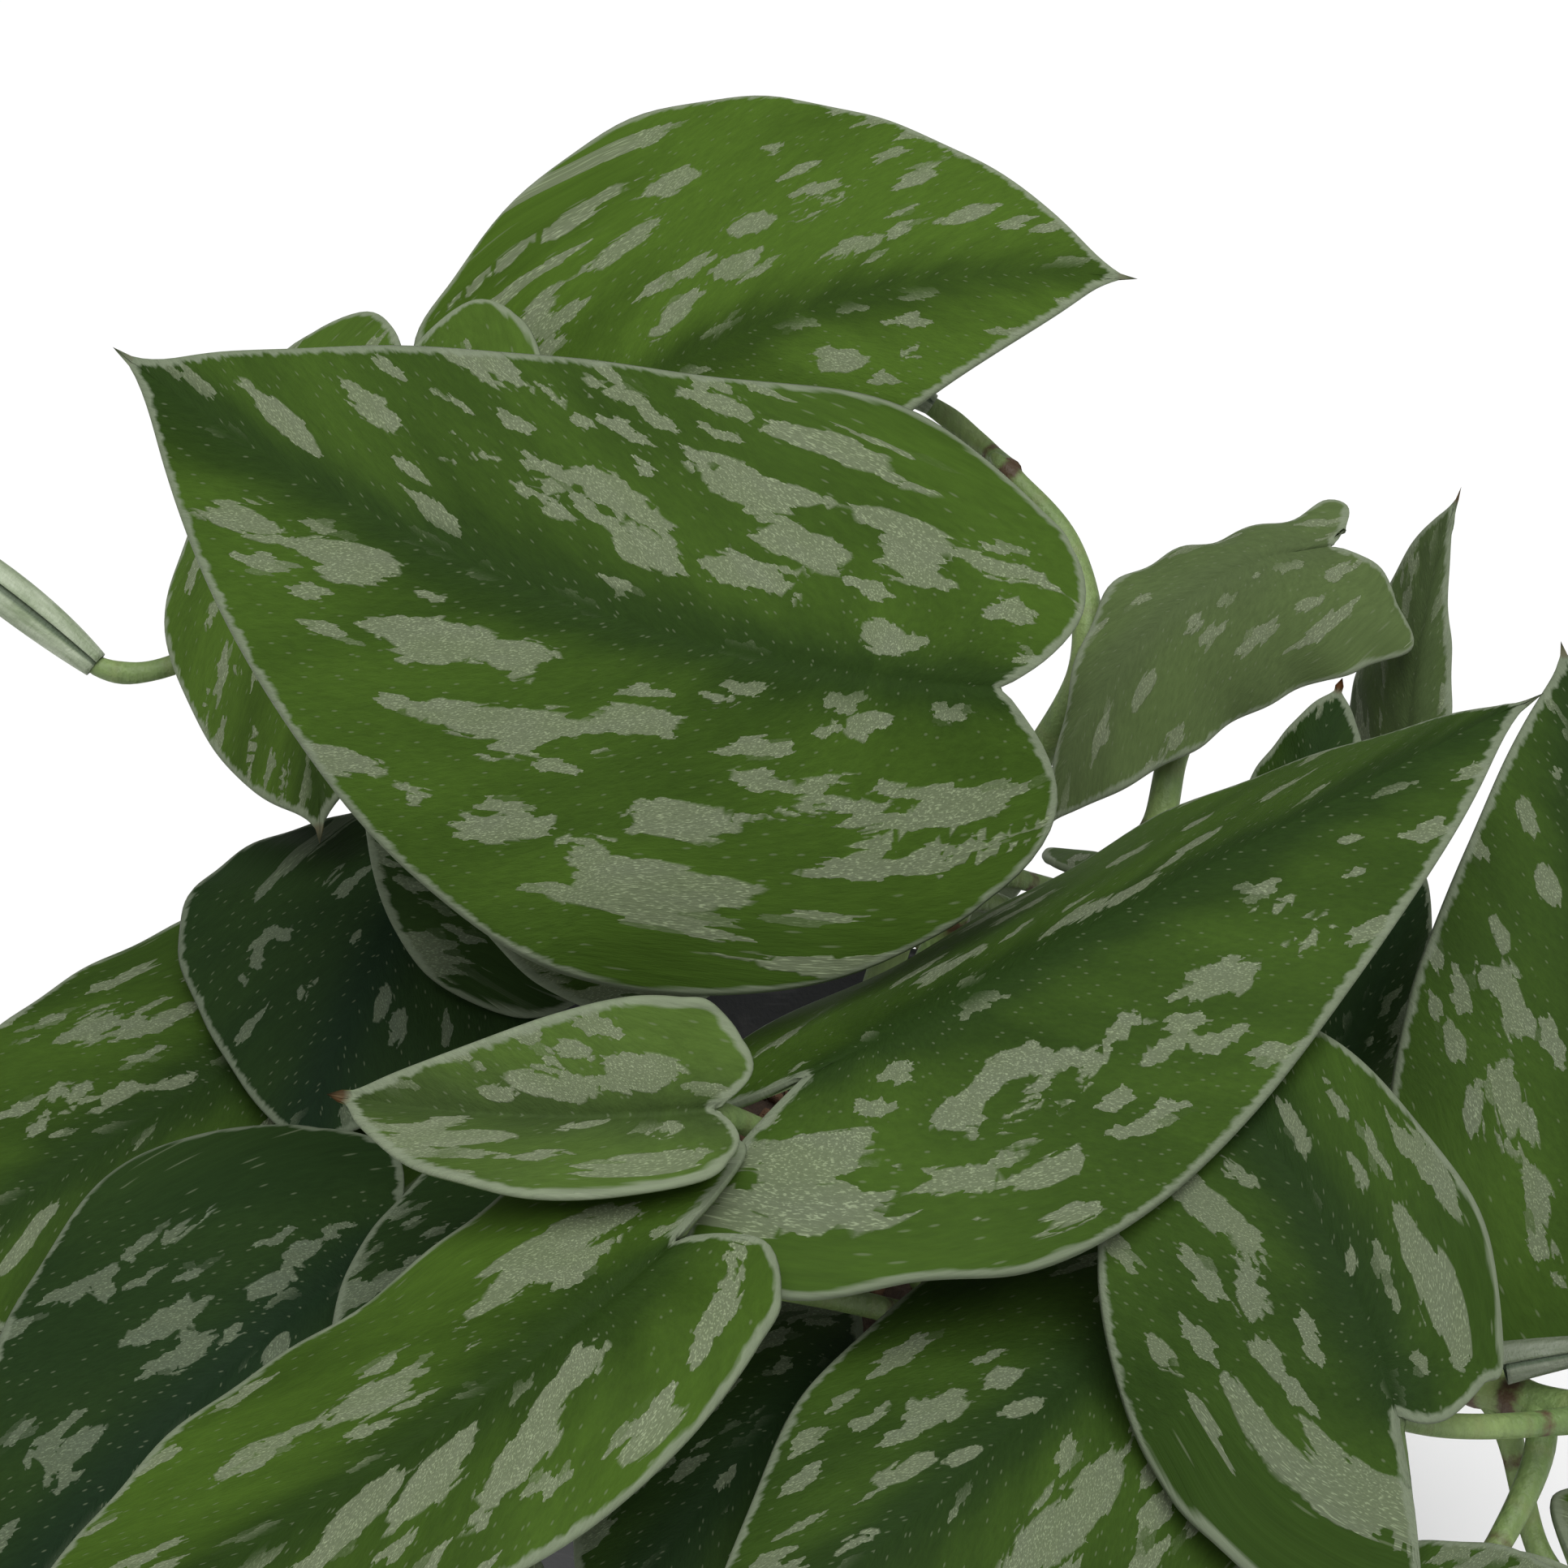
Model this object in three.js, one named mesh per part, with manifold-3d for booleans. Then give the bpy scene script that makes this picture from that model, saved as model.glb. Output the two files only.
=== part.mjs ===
// A potted satin pothos: broad heart-shaped leaves on trailing stems, in a plain tapered grow pot.
// Millimetres. The origin is the centre of the pot's flat underside, +Z is up, -Y is the plant's front.
import * as THREE from 'three';
import Module from 'manifold-3d';

const wasm = await Module();
wasm.setup();

// ---- clearance between pieces that touch ----
const GAP = 0.3;

// ---- pot ----
const POT_HEIGHT = 110;
const POT_FOOT_RADIUS = 44;
const POT_RIM_RADIUS = 65;
const POT_RIM_BAND = 14;
const POT_RIM_STEP = 5;
const POT_SHOULDER_RADIUS = POT_RIM_RADIUS - POT_RIM_STEP;
const POT_WALL = 2.4;
const POT_FLOOR = 3;
const POT_SEGMENTS = 36;
const DRAIN_HOLES = 6;
const DRAIN_RADIUS = 4.5;
const DRAIN_CIRCLE = 0.62 * POT_FOOT_RADIUS;
const USUAL_RIM_RADIUS = 65;
const PLAN_SPREAD = POT_RIM_RADIUS / USUAL_RIM_RADIUS;

// ---- soil ----
const SOIL_BELOW_RIM = 14;
const SOIL_TOP = POT_HEIGHT - SOIL_BELOW_RIM;
const SOIL_DOME = 2.5;

// ---- stems ----
const STEM_RADIUS = 2.3;
const STEM_SIDES = 7;
const STEM_STEPS = 11;
const ROOTED_DEPTH = 24;
const PETIOLE_RADIUS = 1.4;
const SHEATH_RADIUS = 1.9;
const PETIOLE_SIDES = 6;
const PETIOLE_STEPS = 6;

// ---- leaves ----
const LEAF_THICKNESS = 1;
const HALF_COLUMNS = 2;
// Outline of a half blade from the lobe to the tip: [share of the length, share of the half width].
const OUTLINE = [
  [-0.055, 0.13], [-0.115, 0.36], [-0.1, 0.62], [0, 0.85], [0.16, 0.98],
  [0.34, 0.99], [0.52, 0.87], [0.69, 0.64], [0.84, 0.37], [0.945, 0.13],
];
// Where the side vein that ends at each outline point leaves the midrib, as a share of the length.
const VEIN_ROOTS = [0.02, 0.045, 0.075, 0.12, 0.19, 0.3, 0.45, 0.62, 0.79, 0.92];

const COLOURS = {
  pot: '#2e3033',
  soil: '#3a2a1e',
  stem: '#7c9a58',
  leaf: '#4f7a3a',
  rolledLeaf: '#93a886',
};

function vector(list) {
  return new THREE.Vector3(...list);
}

function place([x, y, height = 0]) {
  return new THREE.Vector3(PLAN_SPREAD * x, PLAN_SPREAD * y, POT_HEIGHT + height);
}

// ---- closed bodies ----
function geometryOf(points, triangles) {
  const geometry = new THREE.BufferGeometry();
  const numbers = points.flatMap((p) => [p.x, p.y, p.z]);
  geometry.setAttribute('position', new THREE.Float32BufferAttribute(numbers, 3));
  geometry.setIndex(triangles.flat());
  geometry.computeVertexNormals();
  return geometry;
}

function manifoldOf(points, triangles) {
  const vertProperties = new Float32Array(points.flatMap((p) => [p.x, p.y, p.z]));
  const triVerts = new Uint32Array(triangles.flat());
  return new wasm.Manifold(new wasm.Mesh({ numProp: 3, vertProperties, triVerts }));
}

function geometryOfManifold(body) {
  const mesh = body.getMesh();
  const geometry = new THREE.BufferGeometry();
  geometry.setAttribute('position', new THREE.Float32BufferAttribute(mesh.vertProperties, 3));
  geometry.setIndex(Array.from(mesh.triVerts));
  geometry.computeVertexNormals();
  return geometry;
}

function uprightCylinder(x, y, bottom, top, radius, sides) {
  return wasm.Manifold.cylinder(top - bottom, radius, radius, sides).translate([x, y, bottom]);
}

function turned(profile, segments) {
  return wasm.Manifold.revolve(new wasm.CrossSection([profile]), segments);
}

// A round rod along a curve, closed at both ends; radiusAt gives its radius for a share of the length.
function rodAlong(curve, steps, radiusAt, sides) {
  const frames = curve.computeFrenetFrames(steps, false);
  const points = [curve.getPointAt(0)];
  for (let i = 0; i <= steps; i += 1) {
    const centre = curve.getPointAt(i / steps);
    for (let k = 0; k < sides; k += 1) {
      const angle = (2 * Math.PI * k) / sides;
      const spoke = frames.normals[i].clone().multiplyScalar(Math.cos(angle));
      spoke.addScaledVector(frames.binormals[i], Math.sin(angle));
      points.push(centre.clone().addScaledVector(spoke, radiusAt(i / steps)));
    }
  }
  points.push(curve.getPointAt(1));
  const last = points.length - 1;
  const triangles = [];
  for (let k = 0; k < sides; k += 1) {
    const next = (k + 1) % sides;
    triangles.push([0, 1 + next, 1 + k]);
    for (let i = 0; i < steps; i += 1) {
      const here = 1 + i * sides;
      const above = here + sides;
      triangles.push([here + k, here + next, above + next]);
      triangles.push([here + k, above + next, above + k]);
    }
    const end = 1 + steps * sides;
    triangles.push([last, end + k, end + next]);
  }
  return { points, triangles };
}

// ---- pot and soil ----
const potShoulder = POT_HEIGHT - POT_RIM_BAND;

function potInnerRadius(height) {
  const share = height / potShoulder;
  return THREE.MathUtils.lerp(POT_FOOT_RADIUS, POT_SHOULDER_RADIUS, share) - POT_WALL;
}

function pot() {
  const profile = [
    [0, 0],
    [POT_FOOT_RADIUS - 1, 0],
    [POT_FOOT_RADIUS, 1.2],
    [POT_SHOULDER_RADIUS, potShoulder],
    [POT_RIM_RADIUS - 1.5, potShoulder + 0.6],
    [POT_RIM_RADIUS - 0.5, potShoulder + 1.8],
    [POT_RIM_RADIUS, POT_HEIGHT - 1.5],
    [POT_RIM_RADIUS - 1.2, POT_HEIGHT],
    [POT_RIM_RADIUS - 3, POT_HEIGHT - 0.8],
    [potInnerRadius(potShoulder) + 1.5, potShoulder + 4],
    [potInnerRadius(potShoulder), potShoulder],
    [potInnerRadius(POT_FLOOR), POT_FLOOR],
    [0, POT_FLOOR],
  ];
  let body = turned(profile, POT_SEGMENTS);
  for (let k = 0; k < DRAIN_HOLES; k += 1) {
    const angle = (2 * Math.PI * k) / DRAIN_HOLES;
    const x = DRAIN_CIRCLE * Math.cos(angle);
    const y = DRAIN_CIRCLE * Math.sin(angle);
    body = body.subtract(uprightCylinder(x, y, -1, POT_FLOOR + 1, DRAIN_RADIUS, 10));
  }
  return geometryOfManifold(body);
}

// The potting mix fills the pot to a low dome, with a hole for the rooted foot of every stem.
function soil() {
  const floor = POT_FLOOR + GAP;
  const profile = [
    [0, floor],
    [potInnerRadius(floor) - 2 * GAP, floor],
    [potInnerRadius(SOIL_TOP) - 2 * GAP, SOIL_TOP],
    [0.6 * potInnerRadius(SOIL_TOP), SOIL_TOP + 0.7 * SOIL_DOME],
    [0, SOIL_TOP + SOIL_DOME],
  ];
  let body = turned(profile, POT_SEGMENTS);
  for (const stem of Object.values(STEMS)) {
    const { x, y } = place(stem[0]);
    const bottom = SOIL_TOP - ROOTED_DEPTH - GAP;
    body = body.subtract(uprightCylinder(x, y, bottom, POT_HEIGHT, STEM_RADIUS + GAP, 10));
  }
  return geometryOfManifold(body);
}

// ---- where everything grows ----
// Places are given from the middle of the rim: heights above the rim, and the plan as it is over a rim of
// the usual radius. place() sets them over this pot, spread in plan as its rim is.
// A stem stands upright where it leaves the soil at its first [x, y] and then passes through its points.
const STEMS = {
  stem_centre: [[6, -6], [7, -7, 12], [12, -4, 32], [17, -6, 50], [22, -14, 66]],
  stem_left: [[-34, 2], [-37, 6, 8], [-42, 14, 30], [-52, 26, 50], [-60, 36, 64]],
  stem_front_left: [[-24, -26], [-28, -34, 4], [-32, -42, 12], [-30, -50, 18]],
  stem_front: [[8, -34], [12, -42, 2], [18, -50, 8], [22, -58, 14]],
  stem_front_right: [
    [38, -26], [50, -34, 4], [68, -50, 10], [86, -66, 14], [98, -74, 20], [107, -76, 27],
  ],
  stem_right: [[32, 18], [40, 22, 8], [50, 34, 34], [53, 40, 44], [63, 50, 50]],
  stem_back_left: [[-20, 26], [-26, 34, 8], [-30, 42, 34], [-30, 50, 56], [-26, 54, 70]],
  stem_back_right: [[14, 34], [20, 42, 8], [32, 42, 36], [40, 40, 56], [38, 50, 68], [28, 58, 78]],
};

// A blade runs from its base, where the stalk joins, to its tip; face is the [azimuth, elevation] its
// upper side looks along. left and right are [half width, lobe length factor, forward shift of the widest
// part]. arch humps the midrib, bow bends it sideways, cup drops the margins and fold raises the halves.
// The stalk leaves the named stem at a share of its length, may sway on the way, and meets the blade from
// behind; lean is how far it comes from below instead: 0 along the blade, 1 straight up through it.
const LEAF_ROWS = {
  leaf_crown_front: {
    stem: 'stem_centre', at: 1, lean: 0.9,
    base: [24, -36, 88], tip: [-71, -26, 123], face: [-2, 35],
    left: [38, 0.8, 0], right: [32, 0.3, 0], arch: 6, bow: 9, cup: 5, fold: -6,
  },
  leaf_crown_back: {
    stem: 'stem_back_left', at: 1, lean: 0.9,
    base: [-34, 38, 84], tip: [45, 55, 104], face: [0, 47],
    left: [38, 1, 0.1], right: [24, 1, -0.07], bow: 7, cup: 6,
  },
  leaf_left_upper: {
    stem: 'stem_left', at: 1, sway: [-3, -6, 4],
    base: [-49, 47, 96], tip: [-57, -2, 52], face: [-30, 32],
    left: [22, 1, 0], right: [29, 1, 0.14],
  },
  leaf_left_shaded: {
    stem: 'stem_left', at: 0.63, sway: [4, -3, -1], lean: 0.75,
    base: [-42, 4, 46], tip: [-57, -34, 26], face: [-17, 50],
    left: [24, 1, 0], right: [29, 1, 0.02],
  },
  leaf_left_outer: {
    stem: 'stem_left', at: 0.43, sway: [1, -1, -1],
    base: [-54, -9, 31], tip: [-109, -47, 10], face: [-23, 48],
    left: [26, 1, 0], right: [27, 1, 0], cup: 5,
  },
  leaf_left_front: {
    stem: 'stem_front_left', at: 0.81, sway: [-2, 1, 0], lean: 0.97,
    base: [-44, -52, 27], tip: [-85, -93, 4], face: [-16, 52],
    left: [27, 1, 0], right: [31, 1, -0.02], arch: 6, cup: 5,
  },
  leaf_left_inner: {
    stem: 'stem_front_left', at: 0.97, sway: [0, 3, 1],
    base: [-20, -48, 31], tip: [-50, -77, 22], face: [-21, 56],
    left: [18, 1, 0], right: [16, 1, 0],
  },
  leaf_front_long: {
    stem: 'stem_front', at: 0.76, sway: [-1, 7, 3], lean: 0.97,
    base: [-11, -81, 47], tip: [-78, -118, 20], face: [-13, 69],
    left: [17, 0.7, 0], right: [21, 1.2, 0.12], bow: 7,
  },
  leaf_front_young: {
    stem: 'stem_front', at: 0.74, sway: [-5, 4, 8], lean: 0.75,
    base: [-7, -69, 55], tip: [-47, -68, 56], face: [0, 47],
    left: [10, 0.4, 0.15], right: [12, 0.6, -0.1], arch: 2, bow: 2, cup: -1, fold: 20,
  },
  leaf_right_long: {
    stem: 'stem_front', at: 0.82, sway: [0, 5, 1], lean: 0.97,
    base: [2, -61, 54], tip: [84, -27, 83], face: [10, 83],
    left: [24, 1.2, 0.08], right: [29, 1.6, -0.1], arch: 2, bow: -2, cup: 6, fold: -16,
  },
  leaf_right_front: {
    stem: 'stem_front_right', at: 0.78, sway: [-3, 2, 0], lean: 0.97,
    base: [63, -90, 31], tip: [36, -48, 58], face: [2, 36],
    left: [27, 2.4, -0.05], right: [16, 0.2, 0.1], bow: -4,
  },
  leaf_right_outer: {
    stem: 'stem_front_right', at: 0.59, sway: [0, 2, -2], lean: 0.75,
    base: [95, -52, 23], tip: [94, 3, 75], face: [12, 35],
    left: [26, 1, -0.09], right: [26, 1, 0], cup: 5,
  },
  leaf_right_back: {
    stem: 'stem_right', at: 1, lean: 0.9,
    base: [74, 53, 67], tip: [34, 28, 36], face: [19, 38],
    left: [20, 0.4, 0], right: [7, 0.9, 0], arch: 9, bow: -10, cup: 6, fold: -3,
  },
  leaf_right_tall: {
    stem: 'stem_right', at: 0.45, sway: [6, 2, -8], lean: 0.75,
    base: [85, 45, 30], tip: [92, 64, 70], face: [-56, 28],
    left: [14, 1, 0], right: [4, 1, 0], arch: 3,
  },
  leaf_right_small: {
    stem: 'stem_right', at: 0.64, lean: 0.9,
    base: [66, 21, 33], tip: [73, 35, 55], face: [-20, 35],
    left: [9, 1, 0], right: [9, 1, 0], arch: 3, cup: 3,
  },
  leaf_right_inner: {
    stem: 'stem_front_right', at: 0.28, sway: [-3, 3, 1],
    base: [60, -30, 25], tip: [78, -2, 50], face: [20, 40],
    left: [17, 1, 0], right: [10, 1, 0],
  },
  leaf_front_low: {
    stem: 'stem_front', at: 0.85, sway: [0, 1, -1], lean: 0.97,
    base: [43, -65, 28], tip: [-11, -117, 11], face: [0, 61],
    left: [26, 1, 0], right: [21, 1, 0], arch: 6, cup: 5,
  },
  leaf_front_shaded: {
    stem: 'stem_front', at: 0.69, sway: [-4, 1, 0], lean: 0.9,
    base: [9, -59, 18], tip: [-20, -100, 7], face: [-7, 62],
    left: [24, 1, 0], right: [23, 1, 0], arch: 6,
  },
  leaf_centre_shaded: {
    stem: 'stem_centre', at: 0.65, sway: [-2, 0, -1],
    base: [-20, -16, 52], tip: [-51, -8, 70], face: [-11, 42],
    left: [21, 1, 0], right: [18, 1, 0],
  },
  leaf_centre_under: {
    stem: 'stem_centre', at: 0.72, sway: [-1, 0, 0],
    base: [-7, -18, 55], tip: [-43, -21, 62], face: [0, 46],
    left: [17, 1, 0.03], right: [16, 1, 0], bow: 2,
  },
  leaf_right_low: {
    stem: 'stem_front_right', at: 0.67, sway: [-1, 1, 0], lean: 0.97,
    base: [56, -111, 2], tip: [100, -97, 3], face: [20, 61],
    left: [22, 1, 0], right: [22, 1, 0],
  },
  leaf_skirt_front_left: {
    stem: 'stem_front_left', at: 0.98, sway: [-1, 0, -2], lean: 0.9,
    base: [-38, -84, 6], tip: [-62, -108, -30], face: [-25, 35],
    left: [19, 1, 0], right: [19, 1, 0],
  },
  leaf_skirt_front: {
    stem: 'stem_front', at: 0.78, sway: [0, 0, -2], lean: 0.75,
    base: [12, -90, -2], tip: [6, -116, -36], face: [5, 30],
    left: [20, 1, 0], right: [20, 1, 0],
  },
  leaf_skirt_front_right: {
    stem: 'stem_front_right', at: 0.62, sway: [0, 0, -2], lean: 0.9,
    base: [88, -74, -2], tip: [112, -92, -36], face: [45, 30],
    left: [18, 1, 0], right: [18, 1, 0],
  },
  leaf_skirt_left: {
    stem: 'stem_left', at: 0.28, sway: [0, -2, -2],
    base: [-80, -8, 2], tip: [-112, -10, -30], face: [-80, 30],
    left: [20, 1, 0], right: [20, 1, 0],
  },
  leaf_skirt_back_left: {
    stem: 'stem_back_left', at: 0.29, sway: [-1, 1, -2],
    base: [-66, 38, 10], tip: [-92, 54, -24], face: [-120, 30],
    left: [20, 1, 0], right: [20, 1, 0],
  },
  leaf_back_left: {
    stem: 'stem_back_left', at: 0.82, sway: [0, 2, -2], lean: 0.9,
    base: [-38, 66, 58], tip: [-46, 102, 22], face: [-160, 35],
    left: [21, 1, 0], right: [21, 1, 0],
  },
  leaf_back_middle: {
    stem: 'stem_back_left', at: 1, sway: [0, 1, -2],
    base: [-2, 76, 68], tip: [0, 112, 32], face: [180, 35],
    left: [22, 1, 0], right: [22, 1, 0],
  },
  leaf_back_inner: {
    stem: 'stem_back_right', at: 0.37, sway: [-1, 2, -2], lean: 0.97,
    base: [12, 70, 38], tip: [16, 100, 2], face: [175, 35],
    left: [18, 1, 0], right: [18, 1, 0],
  },
  leaf_skirt_back: {
    stem: 'stem_back_left', at: 0.39, sway: [0, 1, -3],
    base: [-30, 74, 14], tip: [-42, 106, -22], face: [-165, 30],
    left: [20, 1, 0], right: [20, 1, 0],
  },
  leaf_skirt_back_middle: {
    stem: 'stem_back_right', at: 0.28, sway: [-1, 0, -3],
    base: [14, 78, 8], tip: [22, 110, -28], face: [170, 30],
    left: [20, 1, 0], right: [20, 1, 0],
  },
  leaf_skirt_back_right: {
    stem: 'stem_back_right', at: 0.28, sway: [-1, 1, -2],
    base: [48, 68, 2], tip: [68, 96, -32], face: [145, 30],
    left: [19, 1, 0], right: [19, 1, 0],
  },
  leaf_skirt_right: {
    stem: 'stem_right', at: 0.38, sway: [0, -1, -2],
    base: [76, 36, 2], tip: [108, 46, -32], face: [105, 30],
    left: [19, 1, 0], right: [19, 1, 0],
  },
  leaf_skirt_right_front: {
    stem: 'stem_front_right', at: 0.28, sway: [-1, 1, -1],
    base: [84, -4, 2], tip: [114, -6, -28], face: [88, 30],
    left: [18, 1, 0], right: [18, 1, 0],
  },
  leaf_inner_right: {
    stem: 'stem_right', at: 0.28, sway: [0, 0, -2], lean: 0.9,
    base: [54, 6, 9], tip: [76, 27, 5], face: [60, 65],
    left: [13, 1, 0], right: [14, 1, 0], arch: 3, cup: 3,
  },
  leaf_inner_middle: {
    stem: 'stem_centre', at: 0.37,
    base: [28, 6, 21], tip: [54, 14, 20], face: [40, 65],
    left: [15, 1, 0], right: [15, 1, 0], arch: 3, cup: 3,
  },
  leaf_back_right: {
    stem: 'stem_back_right', at: 0.32, sway: [-1, 1, -1],
    base: [50, 58, 14], tip: [72, 84, -14], face: [135, 45],
    left: [18, 1, 0], right: [18, 1, 0],
  },
  leaf_back_inner_left: {
    stem: 'stem_back_left', at: 0.46, sway: [-3, 2, -5],
    base: [-38, 54, 36], tip: [-48, 82, 6], face: [-160, 45],
    left: [17, 1, 0], right: [17, 1, 0],
  },
  leaf_left_back: {
    stem: 'stem_left', at: 0.45, sway: [-4, -1, -2],
    base: [-60, 16, 28], tip: [-96, 26, 2], face: [-80, 45],
    left: [20, 1, 0], right: [20, 1, 0],
  },
};

// New leaves still rolled up: spindles on a stalk, given by base, tip and greatest radius.
const ROLLED_LEAF_ROWS = {
  rolled_leaf_left: {
    stem: 'stem_left', at: 1, sway: [0, 0, -1],
    base: [-90, 34, 58], tip: [-126, 44, 82], radius: 3.2,
  },
  rolled_leaf_right: {
    stem: 'stem_front_right', at: 1, sway: [7, -5, 2],
    base: [112, -66, 24], tip: [79, -65, 19], radius: 3.2,
  },
  rolled_leaf_back: {
    stem: 'stem_back_right', at: 0.97, sway: [2, 5, -4],
    base: [20, 66, 82], tip: [-8, 70, 96], radius: 2.6,
  },
};

const USUAL_LEAF = { sway: [0, 0, 0], lean: 0.6, arch: 5, bow: 0, cup: 4, fold: 0 };

function filledIn(rows) {
  return Object.fromEntries(Object.entries(rows).map(([name, row]) => [name, { ...USUAL_LEAF, ...row }]));
}

const LEAVES = filledIn(LEAF_ROWS);
const ROLLED_LEAVES = filledIn(ROLLED_LEAF_ROWS);

function stemCurve(name) {
  const [root, ...rest] = STEMS[name];
  const { x, y } = place(root);
  const collar = SOIL_TOP + SOIL_DOME;
  const foot = [new THREE.Vector3(x, y, collar + 1), new THREE.Vector3(x, y, collar + 5)];
  return new THREE.CatmullRomCurve3([...foot, ...rest.map(place)], false, 'centripetal');
}

// The part of a stem that stands upright in the soil.
function rootedFoot(name) {
  const { x, y } = place(STEMS[name][0]);
  return uprightCylinder(x, y, SOIL_TOP - ROOTED_DEPTH, SOIL_TOP + SOIL_DOME + 3, STEM_RADIUS, STEM_SIDES);
}

function leafFrame({ base, tip, face }) {
  const along = place(tip).sub(place(base));
  const length = along.length();
  along.normalize();
  const azimuth = THREE.MathUtils.degToRad(face[0]);
  const elevation = THREE.MathUtils.degToRad(face[1]);
  const up = new THREE.Vector3(
    Math.sin(azimuth) * Math.cos(elevation),
    -Math.cos(azimuth) * Math.cos(elevation),
    Math.sin(elevation),
  );
  up.addScaledVector(along, -up.dot(along)).normalize();
  const left = new THREE.Vector3().crossVectors(up, along);
  return { base: place(base), tip: place(tip), length, along, up, left };
}

// The upper face of a blade: one row of points per side vein, right margin to left margin.
function bladeRows(leaf) {
  const { base, length, along, up, left } = leafFrame(leaf);
  const fold = THREE.MathUtils.degToRad(leaf.fold);
  return OUTLINE.map(([x, y], i) => {
    const row = [];
    for (let j = -HALF_COLUMNS; j <= HALF_COLUMNS; j += 1) {
      const [width, lobe, belly] = j > 0 ? leaf.left : leaf.right;
      const edge = x < 0 ? x * lobe : x + belly * Math.sin(Math.PI * x);
      const share = Math.abs(j) / HALF_COLUMNS;
      const s = VEIN_ROOTS[i] + (edge - VEIN_ROOTS[i]) * share;
      const t = y * share;
      const hump = s > 0 ? 4 * s * (1 - s) : 4 * s;
      const point = base.clone().addScaledVector(along, length * s);
      point.addScaledVector(up, leaf.arch * hump + width * t * Math.sin(fold) - leaf.cup * t * t);
      point.addScaledVector(left, leaf.bow * Math.max(hump, 0) + Math.sign(j) * width * t * Math.cos(fold));
      row.push(point);
    }
    return row;
  });
}

// The upper face as triangles: fans at the base and the tip, and side veins swept towards the tip between.
function bladeTriangles(rowCount) {
  const columns = 2 * HALF_COLUMNS + 1;
  const tip = 1 + rowCount * columns;
  const at = (i, j) => 1 + i * columns + j;
  const triangles = [];
  for (let j = 0; j < columns - 1; j += 1) {
    triangles.push([0, at(0, j), at(0, j + 1)]);
    triangles.push([tip, at(rowCount - 1, j + 1), at(rowCount - 1, j)]);
    for (let i = 0; i < rowCount - 1; i += 1) {
      const [a, b, c, d] = [at(i, j), at(i, j + 1), at(i + 1, j + 1), at(i + 1, j)];
      const halves = j < HALF_COLUMNS ? [[a, c, b], [a, d, c]] : [[a, d, b], [b, d, c]];
      triangles.push(...halves);
    }
  }
  return triangles;
}

function bladeLowerTriangles(rowCount) {
  const columns = 2 * HALF_COLUMNS + 1;
  const tip = 1 + rowCount * columns;
  const at = (i, j) => 1 + i * columns + j;
  const triangles = [];
  for (let j = 0; j < columns - 1; j += 1) {
    triangles.push([0, at(0, j + 1), at(0, j)]);
    triangles.push([tip, at(rowCount - 1, j), at(rowCount - 1, j + 1)]);
    for (let i = 0; i < rowCount - 1; i += 1) {
      const [a, b, c, d] = [at(i, j), at(i, j + 1), at(i + 1, j + 1), at(i + 1, j)];
      triangles.push([a, b, c], [a, c, d]);
    }
  }
  return triangles;
}

function pointNormals(points, triangles) {
  const normals = points.map(() => new THREE.Vector3());
  for (const [a, b, c] of triangles) {
    const ab = points[b].clone().sub(points[a]);
    const ac = points[c].clone().sub(points[a]);
    const normal = ab.cross(ac);
    for (const corner of [a, b, c]) {
      normals[corner].add(normal);
    }
  }
  return normals.map((normal) => normal.normalize());
}

// A leathery blade of even thickness: upper face, lower face and the margin that joins them.
function blade(leaf) {
  const { base, tip } = leafFrame(leaf);
  const rows = bladeRows(leaf);
  const upperPoints = [base, ...rows.flat(), tip];
  const upper = bladeTriangles(rows.length);
  const normals = pointNormals(upperPoints, upper);
  const sink = (point, k) => point.clone().addScaledVector(normals[k], -LEAF_THICKNESS);
  const lowerPoints = upperPoints.map(sink);
  const count = upperPoints.length;
  const lower = bladeLowerTriangles(rows.length).map((triangle) => triangle.map((corner) => corner + count));
  const edges = upper.flatMap(([a, b, c]) => [[a, b], [b, c], [c, a]]);
  const known = new Set(edges.map(([a, b]) => `${a} ${b}`));
  const margin = edges.filter(([a, b]) => !known.has(`${b} ${a}`));
  const rim = margin.flatMap(([a, b]) => [[b, a, a + count], [b, a + count, b + count]]);
  return geometryOf([...upperPoints, ...lowerPoints], [...upper, ...lower, ...rim]);
}

// ---- stalks and stems ----
// A stalk meets its blade from behind and below, a clearance under the blade's base.
function leafSeat(leaf) {
  const { base, along, up } = leafFrame(leaf);
  const slant = Math.sqrt(1 - leaf.lean ** 2);
  const arrive = along.clone().multiplyScalar(slant).addScaledVector(up, leaf.lean);
  const droop = Math.max(0, Math.sin(THREE.MathUtils.degToRad(-leaf.fold)));
  const drop = LEAF_THICKNESS + GAP + (slant + 2 * droop) * PETIOLE_RADIUS;
  const seat = base.clone().addScaledVector(along, 2).addScaledVector(up, -drop);
  return { seat, arrive };
}

function rolledLeafSeat({ base, tip }) {
  const arrive = place(tip).sub(place(base)).normalize();
  const seat = place(base).addScaledVector(arrive, -3 * GAP);
  return { seat, arrive };
}

function stalkCurve({ stem, at, sway }, { seat, arrive }) {
  const growth = stemCurve(stem);
  const start = growth.getPointAt(at);
  const reach = start.distanceTo(seat);
  const leave = start.clone().addScaledVector(growth.getTangentAt(at), 0.3 * reach).add(vector(sway));
  const approach = seat.clone().addScaledVector(arrive, -0.35 * reach).addScaledVector(vector(sway), 0.5);
  return new THREE.CubicBezierCurve3(start, leave, approach, seat);
}

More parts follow.
